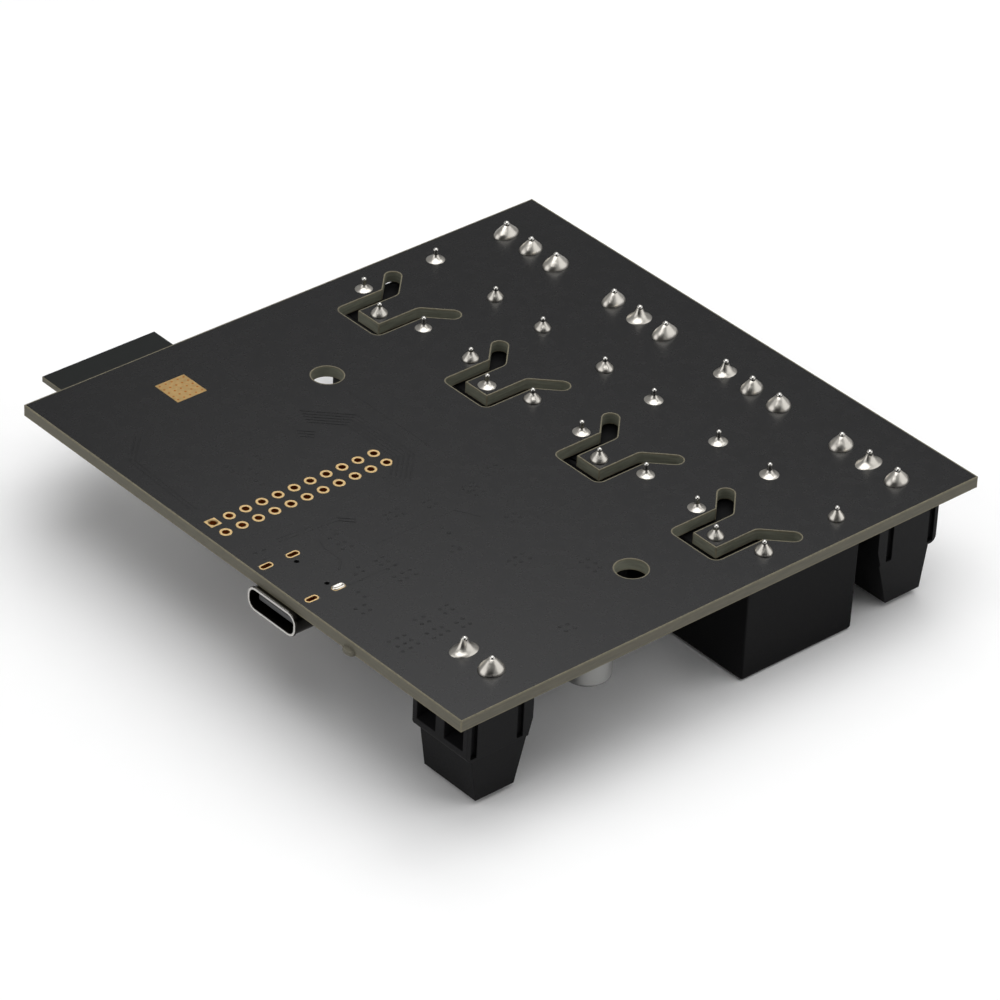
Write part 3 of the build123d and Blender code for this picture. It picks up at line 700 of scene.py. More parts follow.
# Groups of covered vias: middle from the board's corner in millimetres, columns and rows
VIAS = (
    (11.4, 57.9, 1, 2), (13.6, 55.6, 1, 2), (16.1, 57.7, 1, 2), (12.5, 53.2, 1, 2), (23.9, 66.0, 1, 1),
    (3.1, 41.5, 2, 1), (2.5, 39.8, 1, 1), (12.4, 38.6, 2, 1), (12.2, 36.3, 2, 2), (13.7, 30.3, 2, 3),
    (10.4, 31.2, 1, 2), (13.9, 26.8, 3, 2), (26.3, 36.9, 2, 2), (21.3, 37.8, 3, 2), (24.1, 31.2, 1, 2),
    (22.4, 27.3, 2, 1), (32.1, 36.3, 2, 2), (7.3, 27.0, 1, 2), (5.4, 24.4, 2, 2), (13.2, 18.4, 2, 2),
    (9.6, 18.4, 2, 2), (13.1, 15.0, 2, 2), (9.4, 15.4, 3, 2), (4.8, 16.1, 3, 3), (37.2, 37.9, 3, 2),
    (32.7, 36.1, 2, 3), (32.5, 28.4, 2, 2), (22.7, 27.5, 1, 2), (27.0, 21.0, 3, 2), (33.2, 14.8, 2, 3),
    (9.2, 30.0, 1, 2), (22.2, 6.7, 2, 2),
)


def beside(corners, gap):
    """Path that runs beside another, to its right."""
    path = [Vector(corner) for corner in corners]
    ways = [(end - start).normalized() for start, end in zip(path, path[1:])]
    sides = [Vector((way.y, -way.x)) for way in ways]
    before, after = [sides[0], *sides], [*sides, sides[-1]]
    return [point + (a + b) * gap / (1 + a.dot(b)) for point, a, b in zip(path, before, after)]


def make_tracks(sizes):
    """Tracks that show faintly under the mask."""
    half, rise = sizes.track_width / 2, TRACK_RISE
    strip = block("strip", (0, -half, -rise), (1, half, rise))
    edit_some(strip, "FACE", strip.data.polygons, lambda face: face.normal.z > 0.5)
    bpy.ops.transform.resize(value=(1, 0.5, 1))
    done()
    elbow = turned("elbow", [(0, rise * 0.96), (half * 0.5, rise * 0.96), (half, -rise)], 12)
    matrices, elbows = [], []
    for corners, lines in TRACKS:
        for line in range(lines):
            path = beside(corners, line * sizes.track_pitch / MM)
            path = [on_board(x * MM, y * MM) for x, y in path]
            elbows += [at(point) for point in path]
            for start, end in zip(path, path[1:]):
                way = end - start
                matrices.append(at(start, turn=atan2(way.y, way.x), stretch=(way.length, 1, 1)))
    tracks = [repeated(strip, matrices, "tracks"), repeated(elbow, elbows, "elbows")]
    wear(joined(tracks, "covered_tracks"), "mask")
    present(bpy.context.object, "board")


def make_vias(sizes):
    """Covered vias, each a little off its place in its group."""
    chance = random.Random(7)
    pitch = sizes.via_pitch
    shares = (0, 0.2), (0.4, 0.3), (0.8, 1), (1, 0)
    via = turned("via", scaled(shares, sizes.via_diameter / 2, VIA_RISE), 12)
    spots = []
    for x, y, columns, rows in VIAS:
        for column in range(columns):
            for row in range(rows):
                shift = [
                    pitch * (i - (n - 1) / 2 + chance.uniform(-VIA_STRAY, VIA_STRAY))
                    for i, n in ((column, columns), (row, rows))
                ]
                spots.append(at(on_board(x * MM + shift[0], y * MM + shift[1])))
    wear(repeated(via, spots, "covered_vias"), "via")
    present(bpy.context.object, "board")


def header_holes():
    """Places of the header's holes, row by row from its first, worked out from its two mounts."""
    mounts = {mount["name"]: mount for mount in frame["record"]["mounts"]}
    first, last = [Vector(mounts[f"header_{end}_hole"]["pos_m"]) for end in ("first", "last")]
    steps = round((last.x - first.x) / abs(last.y - first.y))
    radius = mounts["header_first_hole"]["dims"]["r_mm"] * MM
    places = [
        Vector((first.x + (last.x - first.x) * step / steps, y, SOLDER_SIDE))
        for y in (first.y, last.y)
        for step in range(steps + 1)
    ]
    return places, radius


def plated_hole(name, inner, outer, sizes, sides=32):
    """Gold ring on both faces of the board with the barrel between them, for a hole at the origin."""
    rise, wall, depth = sizes.ring_rise, BARREL_WALL, SOLDER_SIDE - UNDERSIDE
    bore = inner - wall
    outline = [(outer, 0), (outer - rise, rise), (bore + rise, rise), (bore, 0)]
    outline += [(bore, -depth), (bore + rise, -depth - rise), (outer - rise, -depth - rise), (outer, -depth)]
    ring = turned(name, outline, sides)
    wear(ring, "gold", "plated_barrel")
    paint(ring, 1, lambda middle, normal: is_wall(normal) and -depth < middle.z < 0)
    return ring


def square_ring(name, inner, outer, sizes):
    """Square gold pad on both faces of the board with the barrel between them, for a hole at the origin."""
    ring = plated_hole(name, inner, inner * 1.3, sizes)
    rise, depth = sizes.ring_rise, SOLDER_SIDE - UNDERSIDE
    pads = []
    for middle in (0, -depth):
        low, high = middle - rise, middle + rise
        pad = block("pad", (-outer, -outer, low), (outer, outer, high))
        below, above = low - 2 * rise, high + rise
        cut_with(pad, turned("drill", [(0, below), (inner, below), (inner, above), (0, above)], 32))
        wear(pad, "gold", "plated_barrel")
        pads.append(soften(pad, rise * 0.4, segments=1, angle=60))
    return joined([ring, *pads], name)


def make_header(sizes):
    """Gold rings of the empty header, the first one square."""
    places, radius = header_holes()
    outer = radius + sizes.ring_width
    rings = [repeated(square_ring("first_ring", radius, outer, sizes), [at(places[0])], "first_ring")]
    ring = plated_hole("ring", radius, outer, sizes)
    rings.append(repeated(ring, [at(place) for place in places[1:]], "rings"))
    present(joined(rings, "header_rings"), "board")


def socket_legs():
    """Places of the socket's legs on the solder side, from the leg solids' tips."""
    low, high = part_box("cable_socket_shell")
    mesh = frame["nodes"]["cable_socket_shell"].data
    tips = [vertex.co for vertex in mesh.vertices if vertex.co.z > high.z - TOUCH]
    middle_x, middle_y = [sum(tip[axis] for tip in tips) / len(tips) for axis in (0, 1)]
    legs = []
    for left in (True, False):
        for near in (True, False):
            leg = [t for t in tips if (t.x < middle_x) == left and (t.y < middle_y) == near]
            place = [(min(t[axis] for t in leg) + max(t[axis] for t in leg)) / 2 for axis in (0, 1)]
            legs.append(Vector((*place, SOLDER_SIDE)))
    return legs


def drawn_out(piece, shift):
    """Draw a round piece at the origin out along X, both ways by a shift."""
    for side in (-1, 1):
        edit_some(piece, "VERT", piece.data.vertices, lambda vertex: vertex.co.x * side > TOUCH)
        bpy.ops.transform.translate(value=(shift * side, 0, 0))
        done()
    return piece


def make_leg_pads(sizes):
    """Long gold rings round the socket's leg slots, one of them filled with solder."""
    half_slot = LEG_SLOT_WIDTH / 2
    shift = LEG_SLOT_LENGTH / 2 - half_slot
    ring = drawn_out(plated_hole("leg_ring", half_slot, sizes.leg_pad_width / 2, sizes), shift)
    legs = socket_legs()
    present(repeated(ring, [at(leg) for leg in legs], "leg_pads"), "board")
    shares = (0, 0.4), (0.25, 0.5), (0.5, 0.9), (0.65, 1), (0.85, 0.8), (1, 0)
    outline = scaled(shares, sizes.leg_pad_width / 2 - LEG_SOLDER_MARGIN, LEG_SOLDER_HEIGHT)
    fill = drawn_out(turned("leg_fill", outline, 28), shift)
    wear(fill, "solder")
    filled = max(legs, key=lambda leg: leg.x - leg.y)
    present(repeated(fill, [at(filled + Vector((0, 0, sizes.ring_rise)))], "leg_solder"), "solder")


def make_heat_pad(sizes):
    """Bare gold pad below the wireless module, with its grid of small holes."""
    middle = on_board(sizes.heat_pad_x, sizes.heat_pad_y)
    half = Vector((sizes.heat_pad_length / 2, sizes.heat_pad_width / 2, 0))
    rise = Vector((0, 0, sizes.ring_rise))
    pad = block("heat_pad", middle - half - rise, middle + half + rise)
    wear(pad, "bare_gold")
    soften(pad, HEAT_PAD_EDGE)
    hole = turned("via_hole", scaled(((0, 1), (1, 1), (1.3, 0)), HEAT_VIA_RADIUS, HEAT_VIA_RISE), 12)
    wear(hole, "plated_barrel")
    steps = [(i - (HEAT_VIAS - 1) / 2) * sizes.heat_via_pitch for i in range(HEAT_VIAS)]
    grid = [at(middle + rise + Vector((x, y, 0))) for x in steps for y in steps]
    holes = repeated(hole, grid, "heat_pad_holes")
    present(pad, "board")
    present(holes, "board")


# Solder and pins

# Shares of the pad's radius and of the height, from the solder's foot to where it meets the pin
FLARED = (
    (1.0, 0.0), (0.97, 0.05), (0.8, 0.15), (0.62, 0.29), (0.46, 0.47), (0.34, 0.68), (0.27, 0.88), (0.23, 1.0)
)
FULL = (
    (1.0, 0.0), (0.99, 0.08), (0.93, 0.24), (0.8, 0.42), (0.63, 0.6), (0.46, 0.78), (0.32, 0.93), (0.22, 1.0)
)
UPRIGHT = (
    (0.95, 0.0), (0.96, 0.12), (0.88, 0.36), (0.7, 0.66), (0.51, 0.94), (0.38, 1.15), (0.31, 1.3), (0.27, 1.4)
)


def solder_master(name, shares, radius, height, sides):
    """Solder joint at the origin."""
    shares = ((0, 0), *shares, (0, shares[-1][1]))
    joint = turned(name, scaled(shares, radius, height), sides)
    wear(joint, "solder")
    return smooth(joint, JOINT_ANGLE)


def make_solder(sizes):
    """Solder joint at every pin, no two quite alike."""
    chance = random.Random(4)
    boxes = solid_boxes("solder_joints")
    tallest = max(high.z - low.z for low, high in boxes)
    kinds = {
        "relay": (UPRIGHT, sizes.upright_share, 1),
        "terminal": (FULL, sizes.full_share, sizes.terminal_stretch),
    }
    masters = {
        (kind, shares): solder_master(
            f"{kind}_joint",
            shares,
            getattr(sizes, f"{kind}_pad_radius"),
            getattr(sizes, f"{kind}_joint_height"),
            sizes.sides,
        )
        for kind, (other, _, _) in kinds.items()
        for shares in (FLARED, other)
    }
    joints = []
    for box in boxes:
        kind = "terminal" if box[1].z - box[0].z > tallest * TERMINAL_JOINT else "relay"
        other, share, stretch = kinds[kind]
        shares = other if chance.random() < share else FLARED
        wide, deep, tall = [1 + chance.uniform(-1, 1) * sizes.unevenness for _ in range(3)]
        place = at(foot_of(box, SOLDER_SIDE), stretch=(wide * stretch, deep, tall))
        joints.append(placed(masters[kind, shares], place))
    for master in masters.values():
        bpy.data.objects.remove(master)
    present(joined(joints, "solder"), "solder", "solder_joints")


def pin_master(name, radius, start, tip, sides):
    """Round pin with a domed tip, upright on the Z axis."""
    turns = [radians(18 * i) for i in range(6)]
    dome = [(radius * cos(turn), tip + radius * (sin(turn) - 1)) for turn in turns]
    pin = turned(name, [(0, start), (radius, start)] + dome, sides)
    wear(pin, "tin")
    return pin


def make_relay_pins(sizes):
    """Round-ended pins of each relay."""
    for channel in CHANNELS:
        node = f"relay_{channel}_pins"
        boxes = solid_boxes(node)
        pin = pin_master("relay_pin", sizes.relay_pin_radius, boxes[0][0].z, boxes[0][1].z, sizes.sides // 2)
        pins = repeated(pin, [at(foot_of(box, 0)) for box in boxes], f"relay_{channel}_round_pins")
        present(pins, "tinned_metal", node)


def make_contacts(sizes):
    """Clamp boxes of the terminal blocks, each with a round-ended pin through the board."""
    places = [foot_of(box, 0) for box in solid_boxes("solder_joints")]
    shoulder = UNDERSIDE - PIN_SHOULDER
    for name in terminal_poles:
        node = f"{name}_contacts"
        low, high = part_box(node)
        clamps = copy_of(node, f"{name}_clamps")
        cut_at(clamps, (0, 0, shoulder), (0, 0, 1), clear=True)
        wear(clamps, "steel")
        smooth(clamps)
        pin = pin_master("terminal_pin", sizes.terminal_pin_radius, shoulder, high.z, sizes.sides // 2)
        here = [at(place) for place in places if low.x < place.x < high.x and low.y < place.y < high.y]
        pins = repeated(pin, here, f"{name}_pins")
        present(joined([clamps, pins], f"{name}_clamps"), "tinned_metal", node)


# Cases, blocks and screws

def groove(piece, low, high, depth):
    """Sink the upright faces between two heights."""
    for height in (low, high):
        cut_at(piece, (0, 0, height), (0, 0, 1))

    def in_band(face):
        return low < face.center.z < high and is_wall(face.normal)

    edit_some(piece, "FACE", piece.data.polygons, in_band)
    bpy.ops.mesh.extrude_region_shrink_fatten(TRANSFORM_OT_shrink_fatten={"value": -depth})
    done()


def make_relays(sizes):
    """Sealed relay cases with soft edges and the seam of their bases."""
    for channel in CHANNELS:
        node = f"relay_{channel}"
        case = copy_of(node, f"{node}_case")
        wear(case, "relay_plastic")
        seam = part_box(node)[1].z - RELAY_SEAM_HEIGHT
        groove(case, seam - RELAY_SEAM_WIDTH, seam, RELAY_SEAM_DEPTH)
        soften(case, sizes.relay_edge, segments=3, angle=40)
        present(case, "relay_case", node)


def make_blocks(sizes):
    """Moulded terminal blocks with soft edges."""
    for name in terminal_poles:
        softened_copy(name, f"{name}_housing", "terminal_block", "housing", sizes.terminal_edge, angle=30)


def screw_outline(sizes, head_radius, length):
    """Radius and height of a slotted screw, from its head's flat to its point."""
    radius, pitch, height = sizes.screw_radius, sizes.screw_pitch, SCREW_HEAD_HEIGHT
    root = radius - sizes.screw_thread
    outline = [(0, 0), (head_radius * 0.9, 0), (head_radius, SCREW_HEAD_BEVEL)]
    outline += [(head_radius, height - SCREW_HEAD_SHOULDER), (head_radius * 0.95, height)]
    while height < length - 2 * pitch:
        outline += [(root, height + pitch * 0.2), (radius, height + pitch * 0.6)]
        height += pitch
    return outline + [(root, height + pitch * 0.2), (root * 0.7, length), (0, length)]


def make_screws(sizes):
    """Slotted screws with their threads, each on its own body."""
    low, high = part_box("supply_terminal_screw_1")
    head_radius = (high.y - low.y) / 2
    screw = turned("screw", screw_outline(sizes, head_radius, high.z - low.z), sizes.screw_sides)
    reach, half = head_radius * 1.2, sizes.screw_slot_width / 2
    cut_with(screw, block("cutter", (-reach, -half, -reach), (reach, half, sizes.screw_slot_depth)))
    wear(screw, "steel")
    smooth(screw, 40)
    for name, poles in terminal_poles.items():
        for pole in range(1, poles + 1):
            node = f"{name}_screw_{pole}"
            piece = placed(screw, at(foot_of(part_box(node))))
            piece.name = piece.data.name = f"{node}_slotted"
            present(piece, "screw_steel", node, body=node)
    bpy.data.objects.remove(screw)


# Wireless module and cable socket

def flat_blocks(name, boxes, finish_name):
    """One piece of many thin blocks, each with edges that are just broken."""
    piece = joined([block("part", low, high) for low, high in boxes], name)
    wear(piece, finish_name)
    return soften(piece, THIN / 2, segments=1)


def make_antenna(sizes):
    """Track that winds to and fro over the module's free end."""
    low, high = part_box("wireless_module_board")
    shield_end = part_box("wireless_module_shield")[1].y
    half = sizes.antenna_width / 2
    near, far = shield_end + ANTENNA_GAP, high.y - ANTENNA_END
    step = (high.x - low.x - 2 * ANTENNA_SIDE) / sizes.antenna_turns
    bottom, top = low.z - THIN, low.z + THIN
    tracks = []
    for i in range(sizes.antenna_turns + 1):
        x = low.x + ANTENNA_SIDE + step * i
        tracks.append(((x - half, near, bottom), (x + half, far, top)))
        if i < sizes.antenna_turns:
            y = far - half if i % 2 else near + half
            tracks.append(((x + half, y - half, bottom), (x + step - half, y + half, top)))
    present(flat_blocks("module_antenna", tracks, "antenna"), "module_board")


def make_module(sizes):
    """Module board with plated notches, and its shield."""
    board = copy_of("wireless_module_board", "module_laminate")
    wear(board, "module_mask", "laminate", "gold", "rim")
    paint(board, 1, lambda middle, normal: abs(normal.z) < 0.5)
    paint(board, 2, lambda middle, normal: abs(normal.z) < 0.5 and 0.3 < abs(normal.x) < 0.9)
    soften(board, MODULE_RIM, segments=1, rim=3)
    present(board, "module_board", "wireless_module_board")
    make_antenna(sizes)
    softened_copy(
        "wireless_module_shield", "module_shield", "shield_metal", "shield", SHIELD_EDGE, segments=3
    )


def make_socket(sizes):
    """Cable socket: dark shell with a painted highlight of bright steel on its front rim, moulded tongue and
    its contacts.
    """
    shell = copy_of("cable_socket_shell", "socket_shell")
    wear(shell, "dark_steel", "steel")
    soften(shell, sizes.metal_edge, angle=40)
    # Faces of the lip that face -X get bright steel as a painted highlight; the legs above the board's
    # underside are bright metal
    paint(shell, 1, lambda middle, normal: normal.x < -0.95 or middle.z > UNDERSIDE + SOCKET_BRIGHT)
    present(shell, "socket_steel", "cable_socket_shell")
    softened_copy(
        "cable_socket_insert", "socket_insert", "black_plastic", "tongue", sizes.chip_edge, angle=40
    )
    low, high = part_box("cable_socket_insert")
    tongue_z = (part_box("cable_socket_shell")[0].z + UNDERSIDE) / 2
    half, start = sizes.contact_width / 2, low.x + CONTACT_SETBACK
    contacts = []
    for i in range(sizes.contact_count):
        y = (low.y + high.y) / 2 + (i - (sizes.contact_count - 1) / 2) * sizes.contact_pitch
        for side in (-1, 1):
            z = tongue_z + side * TONGUE_THICKNESS / 2
            contacts.append(((start, y - half, z - THIN), (start + CONTACT_LENGTH, y + half, z + THIN)))
    present(flat_blocks("socket_contacts", contacts, "gold"), "tinned_metal")


# Component side

def make_capacitor(sizes):
    """Aluminium can with its crimped neck, rounded end and dark segment, on a moulded foot."""
    box = low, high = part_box("capacitor_can")
    radius, length = (high.x - low.x) / 2, high.z - low.z
    rim, neck, crimp = sizes.can_rim, radius - sizes.can_groove_depth, length - CAN_CRIMP
    outline = [(0, CAN_DISH), (radius - rim * 1.4, CAN_DISH), (radius - rim * 1.2, 0)]
    outline += rounded_end(radius, rim, 5)
    outline += [(radius, crimp - CAN_NECK_REACH), (neck, crimp - CAN_NECK_HALF)]
    outline += [(neck, crimp + CAN_NECK_HALF), (radius, crimp + CAN_NECK_REACH)]
    outline += [(radius, length), (0, length)]
    can = turned("can", outline, 64, foot=foot_of(box))
    edge = foot_of(box).x - radius * CAN_PRINT
    cut_at(can, (edge, 0, 0), (-1, 0, 0))
    wear(can, "aluminium", "print")
    top = low.z + CAN_PRINT_DEPTH
    paint(can, 1, lambda middle, normal: middle.x < edge and middle.z < top and normal.z < -0.5)
    smooth(can)
    present(can, "can_aluminium", "capacitor_can")
    softened_copy("capacitor_base", "capacitor_foot", "black_plastic", "moulding", FOOT_EDGE)


def make_buttons(sizes):
    """Two push buttons: moulded body, metal plate and a round cap that travels."""
    for name in ("reset", "boot"):
        node = f"{name}_button_body"
        body = copy_of(node, f"{name}_button_case")
        wear(body, "moulding", "steel")
        soften(body, BUTTON_EDGE)
        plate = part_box(node)[0].z + BUTTON_PLATE
        cut_at(body, (0, 0, plate), (0, 0, 1))
        paint(body, 1, lambda middle, normal: middle.z < plate)
        smooth(body)
        present(body, "black_plastic", node)
        node = f"{name}_button_cap"
        box = low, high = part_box(node)
        radius, length = (high.y - low.y) / 2, high.z - low.z
        outline = [(0, 0)] + rounded_end(radius, CAP_EDGE, 4) + [(radius, length), (0, length)]
        cap = turned(f"{name}_button_round_cap", outline, 40, foot=foot_of(box))
        wear(cap, "cap")
        present(cap, "button_cap", node, body=node)


def dressed_solids(node, names, edge, mark):
    """Copies of a node's solids with soft edges and their parts painted, joined again."""
    pieces = solids(node)
    for piece in pieces:
        wear(piece, *names)
        mark(piece, *extent(piece))
        soften(piece, edge, angle=35)
    return joined(pieces, f"{node}_dressed")


def leads(across, body_half):
    """Test painter for a chip whose leads stand out along one axis, past its moulded body."""
    def mark(piece, low, high):
        middle = (low + high) / 2
        paint(piece, 1, lambda spot, normal: abs(spot[across] - middle[across]) > body_half)
    return mark


def long_way(low, high):
    """Axis, length and middle of a solid's longer side in plan."""
    span = high - low
    along = 0 if span.x > span.y else 1
    return along, span[along], (low[along] + high[along]) / 2


def ends(share):
    """Test painter for a part whose ends along its longer side are metal."""
    def mark(piece, low, high):
        along, span, middle = long_way(low, high)
        paint(piece, 1, lambda spot, normal: abs(spot[along] - middle) > span * share)
    return mark


def stripe(sizes):
    """Test painter for a diode: flat metal ends, and a pale stripe near one of them."""
    def mark(piece, low, high):
        along, span, middle = long_way(low, high)
        near = middle + span * STRIPE_START
        far = near + sizes.stripe_width
        body = high.z - DIODE_LEAD_HEIGHT
        for edge in (near, far):
            point, normal = Vector((0, 0, 0)), Vector((0, 0, 0))
            point[along], normal[along] = edge, 1
            cut_at(piece, point, normal)
        paint(piece, 1, lambda spot, normal: spot.z > body)
        paint(piece, 2, lambda spot, normal: near < spot[along] < far and spot.z < body)
    return mark


def make_chips(sizes):
    """Moulded chips, transistors, diodes and the inductor."""
    # Finishes, slot and painter of each node
    kinds = {
        "switching_regulator": (["chip", "tin"], "chip_body", leads(0, CHIP_HALF)),
        "cable_bridge_chip": (["chip", "tin"], "chip_body", leads(0, CHIP_HALF)),
        "linear_regulator": (["chip", "tin"], "chip_body", leads(1, REGULATOR_HALF)),
        "transistors": (["chip", "tin"], "chip_body", leads(0, TRANSISTOR_HALF)),
        "diodes": (["chip", "tin", "stripe"], "chip_body", stripe(sizes)),
        "resistors": (["chip", "tin"], "resistor_glaze", ends(BARE_END)),
        "ceramic_capacitors": (["ceramic", "tin"], "ceramic_body", ends(BARE_END)),
        "indicator_lights": (["lens", "tin"], "light_lens", ends(LIGHT_END)),
    }
    for node, (names, slot, mark) in kinds.items():
        present(dressed_solids(node, names, sizes.chip_edge, mark), slot, node)
    softened_copy("power_inductor", "inductor_core", "ferrite", "ferrite", INDUCTOR_EDGE, segments=3)


# Stage

def lamp(name, place, target, power, width, depth):
    """Soft rectangular lamp that faces a target."""
    bpy.ops.object.light_add(type="AREA", location=place)
    light = bpy.context.object
    light.name = name
    light.data.shape = "RECTANGLE"
    light.data.size, light.data.size_y = width, depth
    light.data.energy = power
    light.visible_camera = False
    light.rotation_euler = (target - place).to_track_quat("-Z", "Y").to_euler()


def make_world(strength):
    """Even light from all round."""
    world = bpy.data.worlds.new("Studio")
    bpy.context.scene.world = world
    world.use_nodes = True
    tree = world.node_tree
    tree.nodes.clear()
    sky = new_node(tree, "Background", {"Color": (1, 1, 1, 1), "Strength": strength})
    tree.links.new(sky.outputs[0], new_node(tree, "OutputWorld").inputs["Surface"])


def floor_finish(base):
    """Matt floor that is plain white where it is far from the object and seen or mirrored."""
    material = finish("Floor", base, 0.9, 0, 0.1, 0.004, 4.0)
    tree = material.node_tree
    link = tree.links.new
    place = new_node(tree, "TexCoord")
    distance = new_node(tree, "VectorMath", operation="LENGTH")
    fade = {"From Min": FLOOR_FADE[0], "From Max": FLOOR_FADE[1]}
    far = new_node(tree, "MapRange", fade, interpolation_type="SMOOTHSTEP")
    ray = new_node(tree, "LightPath")
    seen = ray.outputs["Is Camera Ray"]
    for kind in ("Is Glossy Ray", "Is Transmission Ray"):
        either = new_node(tree, "Math", operation="MAXIMUM")
        link(seen, either.inputs[0])
        link(ray.outputs[kind], either.inputs[1])
        seen = either.outputs[0]
    share = new_node(tree, "Math", operation="MULTIPLY")
    mix = new_node(tree, "MixShader")
    link(place.outputs["Object"], distance.inputs[0])
    link(distance.outputs["Value"], far.inputs["Value"])
    link(seen, share.inputs[0])
    link(far.outputs["Result"], share.inputs[1])
    link(share.outputs[0], mix.inputs[0])
    link(tree.nodes["Principled BSDF"].outputs[0], mix.inputs[1])
    link(new_node(tree, "Emission").outputs[0], mix.inputs[2])
    link(mix.outputs[0], tree.nodes["Material Output"].inputs["Surface"])
    return material


def staged(name, material):
    """Settle the stage piece that was just added, and give it a name and a material."""
    piece = settle(bpy.context.object)
    piece.name = name
    piece.data.materials.append(material)
    return piece


def make_backdrop():
    """White shell round the stage that only the camera sees."""
    bpy.ops.mesh.primitive_uv_sphere_add(radius=BACKDROP_RADIUS, segments=48, ring_count=24)
    material = bpy.data.materials.new("Backdrop")
    material.use_nodes = True
    tree = material.node_tree
    tree.links.new(new_node(tree, "Emission").outputs[0], tree.nodes["Material Output"].inputs["Surface"])
    backdrop = staged("backdrop", material)
    backdrop.visible_diffuse = backdrop.visible_glossy = backdrop.visible_transmission = False
    backdrop.visible_shadow = backdrop.visible_volume_scatter = False


def make_flag(middle, place):
    """Dark card that only mirrors see, for the far gloss of the mask."""
    turn = (middle - place).to_track_quat("Z", "Y").to_euler()
    bpy.ops.mesh.primitive_plane_add(size=FLAG_SIZE, location=place, rotation=turn)
    flag = staged("flag", finish("Flag", shade(12, 12, 12), 0.9, 0, 0, 0.02, 8.0))
    flag.visible_camera = flag.visible_diffuse = flag.visible_shadow = flag.visible_transmission = False


def make_camera(sizes):
    """Camera at the photograph's place and angle."""
    camera = bpy.data.objects.new("camera", bpy.data.cameras.new("camera"))
    bpy.context.scene.collection.objects.link(camera)
    camera.location = sizes.camera_place
    camera.rotation_euler = sizes.camera_turn
    camera.data.sensor_width = 36
    camera.data.lens = sizes.lens
    camera.data.clip_start = 0.01
    bpy.context.scene.camera = camera


def make_stage(sizes, colours):
    """Floor, backdrop, lamps and camera."""
    bpy.context.scene.view_settings.view_transform = "Standard"
    bpy.ops.mesh.primitive_plane_add(size=FLOOR_SIZE, location=(0, 0, cad_low.z - FLOOR_GAP))
    staged("floor", floor_finish(colours.floor))
    make_backdrop()
    make_world(sizes.room_light)
    middle = (cad_low + cad_high) / 2

    def away(way):
        return middle + Vector(way) * sizes.lamp_distance

    for name, (way, width, depth) in LAMPS.items():
        lamp(name, away(way), middle, getattr(sizes, name), width, depth)
    make_flag(middle, away(FLAG_WAY))
    make_camera(sizes)


# Operators, one for each group of like pieces and one for the stage

class RELAYBOARD_OT_board(bpy.types.Operator):
    """Board with its mask, rims and the stub of a break-off tab"""

    bl_idname = "relay_board.board"
    bl_label = "Circuit board"

    def execute(self, context):
        make_board(context.scene.relay_board_board)
        make_remnant()
        return {"FINISHED"}


class RELAYBOARD_OT_plating(bpy.types.Operator):
    """Covered tracks and vias, and gold of the header, the socket's leg slots and the heat pad"""

    bl_idname = "relay_board.plating"
    bl_label = "Plating"

    def execute(self, context):
        sizes = context.scene.relay_board_board
        make_tracks(sizes)
        make_vias(sizes)
        make_header(sizes)
        make_leg_pads(sizes)
        make_heat_pad(sizes)
        return {"FINISHED"}


class RELAYBOARD_OT_solder(bpy.types.Operator):
    """Solder joints, relay pins and the terminals' clamps and pins"""

    bl_idname = "relay_board.solder"
    bl_label = "Solder and pins"

    def execute(self, context):
        sizes = context.scene.relay_board_joints
        make_solder(sizes)
        make_relay_pins(sizes)
        make_contacts(sizes)
        return {"FINISHED"}


class RELAYBOARD_OT_relays(bpy.types.Operator):
    """Sealed relays"""

    bl_idname = "relay_board.relays"
    bl_label = "Relays"

    def execute(self, context):
        make_relays(context.scene.relay_board_cases)
        return {"FINISHED"}


class RELAYBOARD_OT_terminals(bpy.types.Operator):
    """Terminal blocks"""

    bl_idname = "relay_board.terminals"
    bl_label = "Terminal blocks"

    def execute(self, context):
        make_blocks(context.scene.relay_board_cases)
        return {"FINISHED"}


class RELAYBOARD_OT_screws(bpy.types.Operator):
    """Slotted screws of the terminal blocks"""

    bl_idname = "relay_board.screws"
    bl_label = "Screws"

    def execute(self, context):
        make_screws(context.scene.relay_board_cases)
        return {"FINISHED"}


class RELAYBOARD_OT_module(bpy.types.Operator):
    """Wireless module and its shield"""

    bl_idname = "relay_board.module"
    bl_label = "Wireless module"

    def execute(self, context):
        make_module(context.scene.relay_board_small_parts)
        return {"FINISHED"}


class RELAYBOARD_OT_socket(bpy.types.Operator):
    """Cable socket"""

    bl_idname = "relay_board.socket"
    bl_label = "Cable socket"

    def execute(self, context):
        make_socket(context.scene.relay_board_small_parts)
        return {"FINISHED"}


class RELAYBOARD_OT_capacitor(bpy.types.Operator):
    """Smoothing capacitor"""

    bl_idname = "relay_board.capacitor"
    bl_label = "Capacitor"

    def execute(self, context):
        make_capacitor(context.scene.relay_board_small_parts)
        return {"FINISHED"}


class RELAYBOARD_OT_buttons(bpy.types.Operator):
    """Reset and boot buttons"""

    bl_idname = "relay_board.buttons"
    bl_label = "Push buttons"

    def execute(self, context):
        make_buttons(context.scene.relay_board_small_parts)
        return {"FINISHED"}


class RELAYBOARD_OT_chips(bpy.types.Operator):
    """Chips and other small parts of the component side"""

    bl_idname = "relay_board.chips"
    bl_label = "Chips and small parts"

    def execute(self, context):
        make_chips(context.scene.relay_board_small_parts)
        return {"FINISHED"}


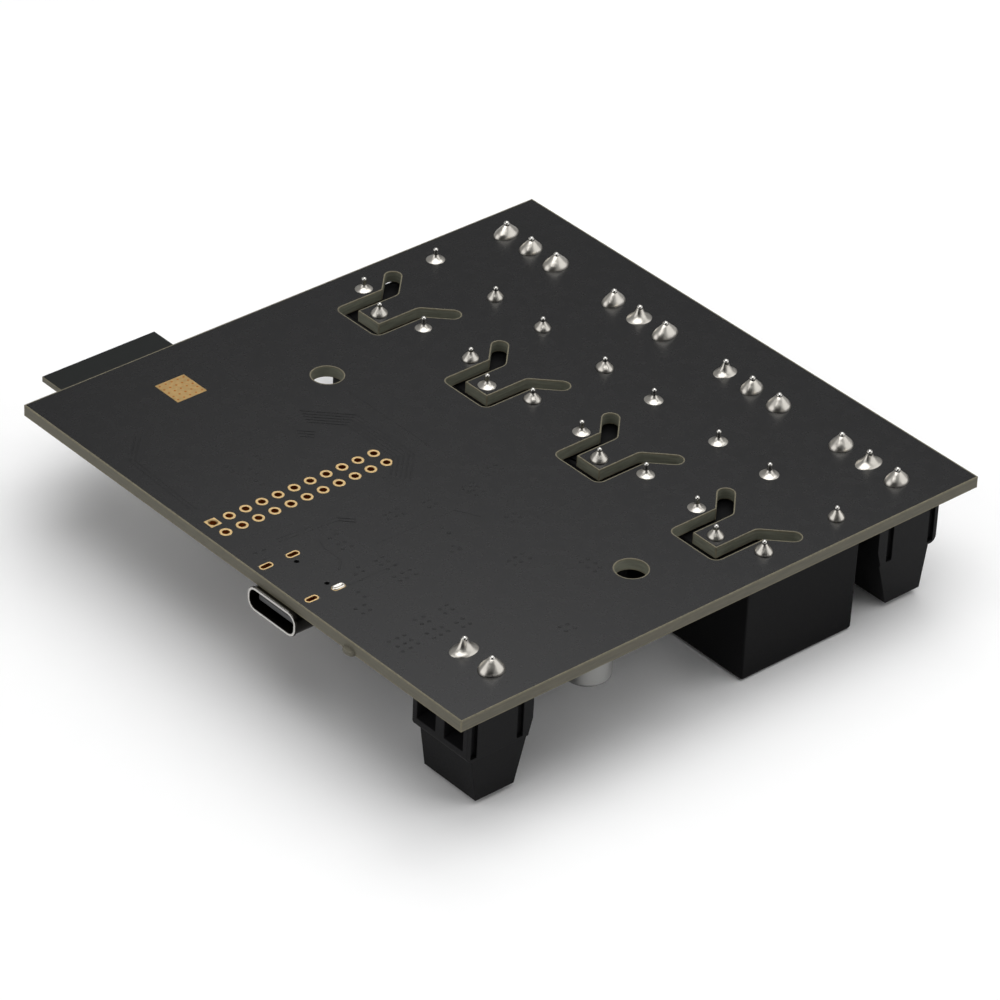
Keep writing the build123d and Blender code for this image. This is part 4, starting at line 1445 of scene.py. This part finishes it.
class RELAYBOARD_OT_stage(bpy.types.Operator):
    """Floor, light and camera"""

    bl_idname = "relay_board.stage"
    bl_label = "Stage"

    def execute(self, context):
        make_stage(context.scene.relay_board_stage, context.scene.relay_board_colours)
        return {"FINISHED"}


groups = {
    "relay_board_board": RELAYBOARD_PG_board,
    "relay_board_joints": RELAYBOARD_PG_joints,
    "relay_board_cases": RELAYBOARD_PG_cases,
    "relay_board_small_parts": RELAYBOARD_PG_small_parts,
    "relay_board_colours": RELAYBOARD_PG_colours,
    "relay_board_stage": RELAYBOARD_PG_stage,
}
operators = [
    RELAYBOARD_OT_board,
    RELAYBOARD_OT_plating,
    RELAYBOARD_OT_solder,
    RELAYBOARD_OT_relays,
    RELAYBOARD_OT_terminals,
    RELAYBOARD_OT_screws,
    RELAYBOARD_OT_module,
    RELAYBOARD_OT_socket,
    RELAYBOARD_OT_capacitor,
    RELAYBOARD_OT_buttons,
    RELAYBOARD_OT_chips,
    RELAYBOARD_OT_stage,
]


class RELAYBOARD_PT_panel(bpy.types.Panel):
    """Lists the pieces and the sizes behind them"""

    bl_idname = "RELAYBOARD_PT_panel"
    bl_label = "Relay module board"
    bl_space_type = "VIEW_3D"
    bl_region_type = "UI"
    bl_category = "Relay board"

    def draw(self, context):
        for operator in operators:
            self.layout.operator(operator.bl_idname)
        for name, group in groups.items():
            box = self.layout.box()
            for key in group.__annotations__:
                box.prop(getattr(context.scene, name), key)


def register():
    """Add the classes and the settings."""
    for item in [*groups.values(), *operators, RELAYBOARD_PT_panel]:
        bpy.utils.register_class(item)
    for name, group in groups.items():
        setattr(bpy.types.Scene, name, bpy.props.PointerProperty(type=group))


def unregister():
    """Take the classes and the settings away."""
    for name in groups:
        delattr(bpy.types.Scene, name)
    for item in reversed([*groups.values(), *operators, RELAYBOARD_PT_panel]):
        bpy.utils.unregister_class(item)


def main():
    """Register the classes and build every piece."""
    register()
    for operator in operators:
        module, name = operator.bl_idname.split(".")
        getattr(getattr(bpy.ops, module), name)()


if __name__ == "__main__":
    main()
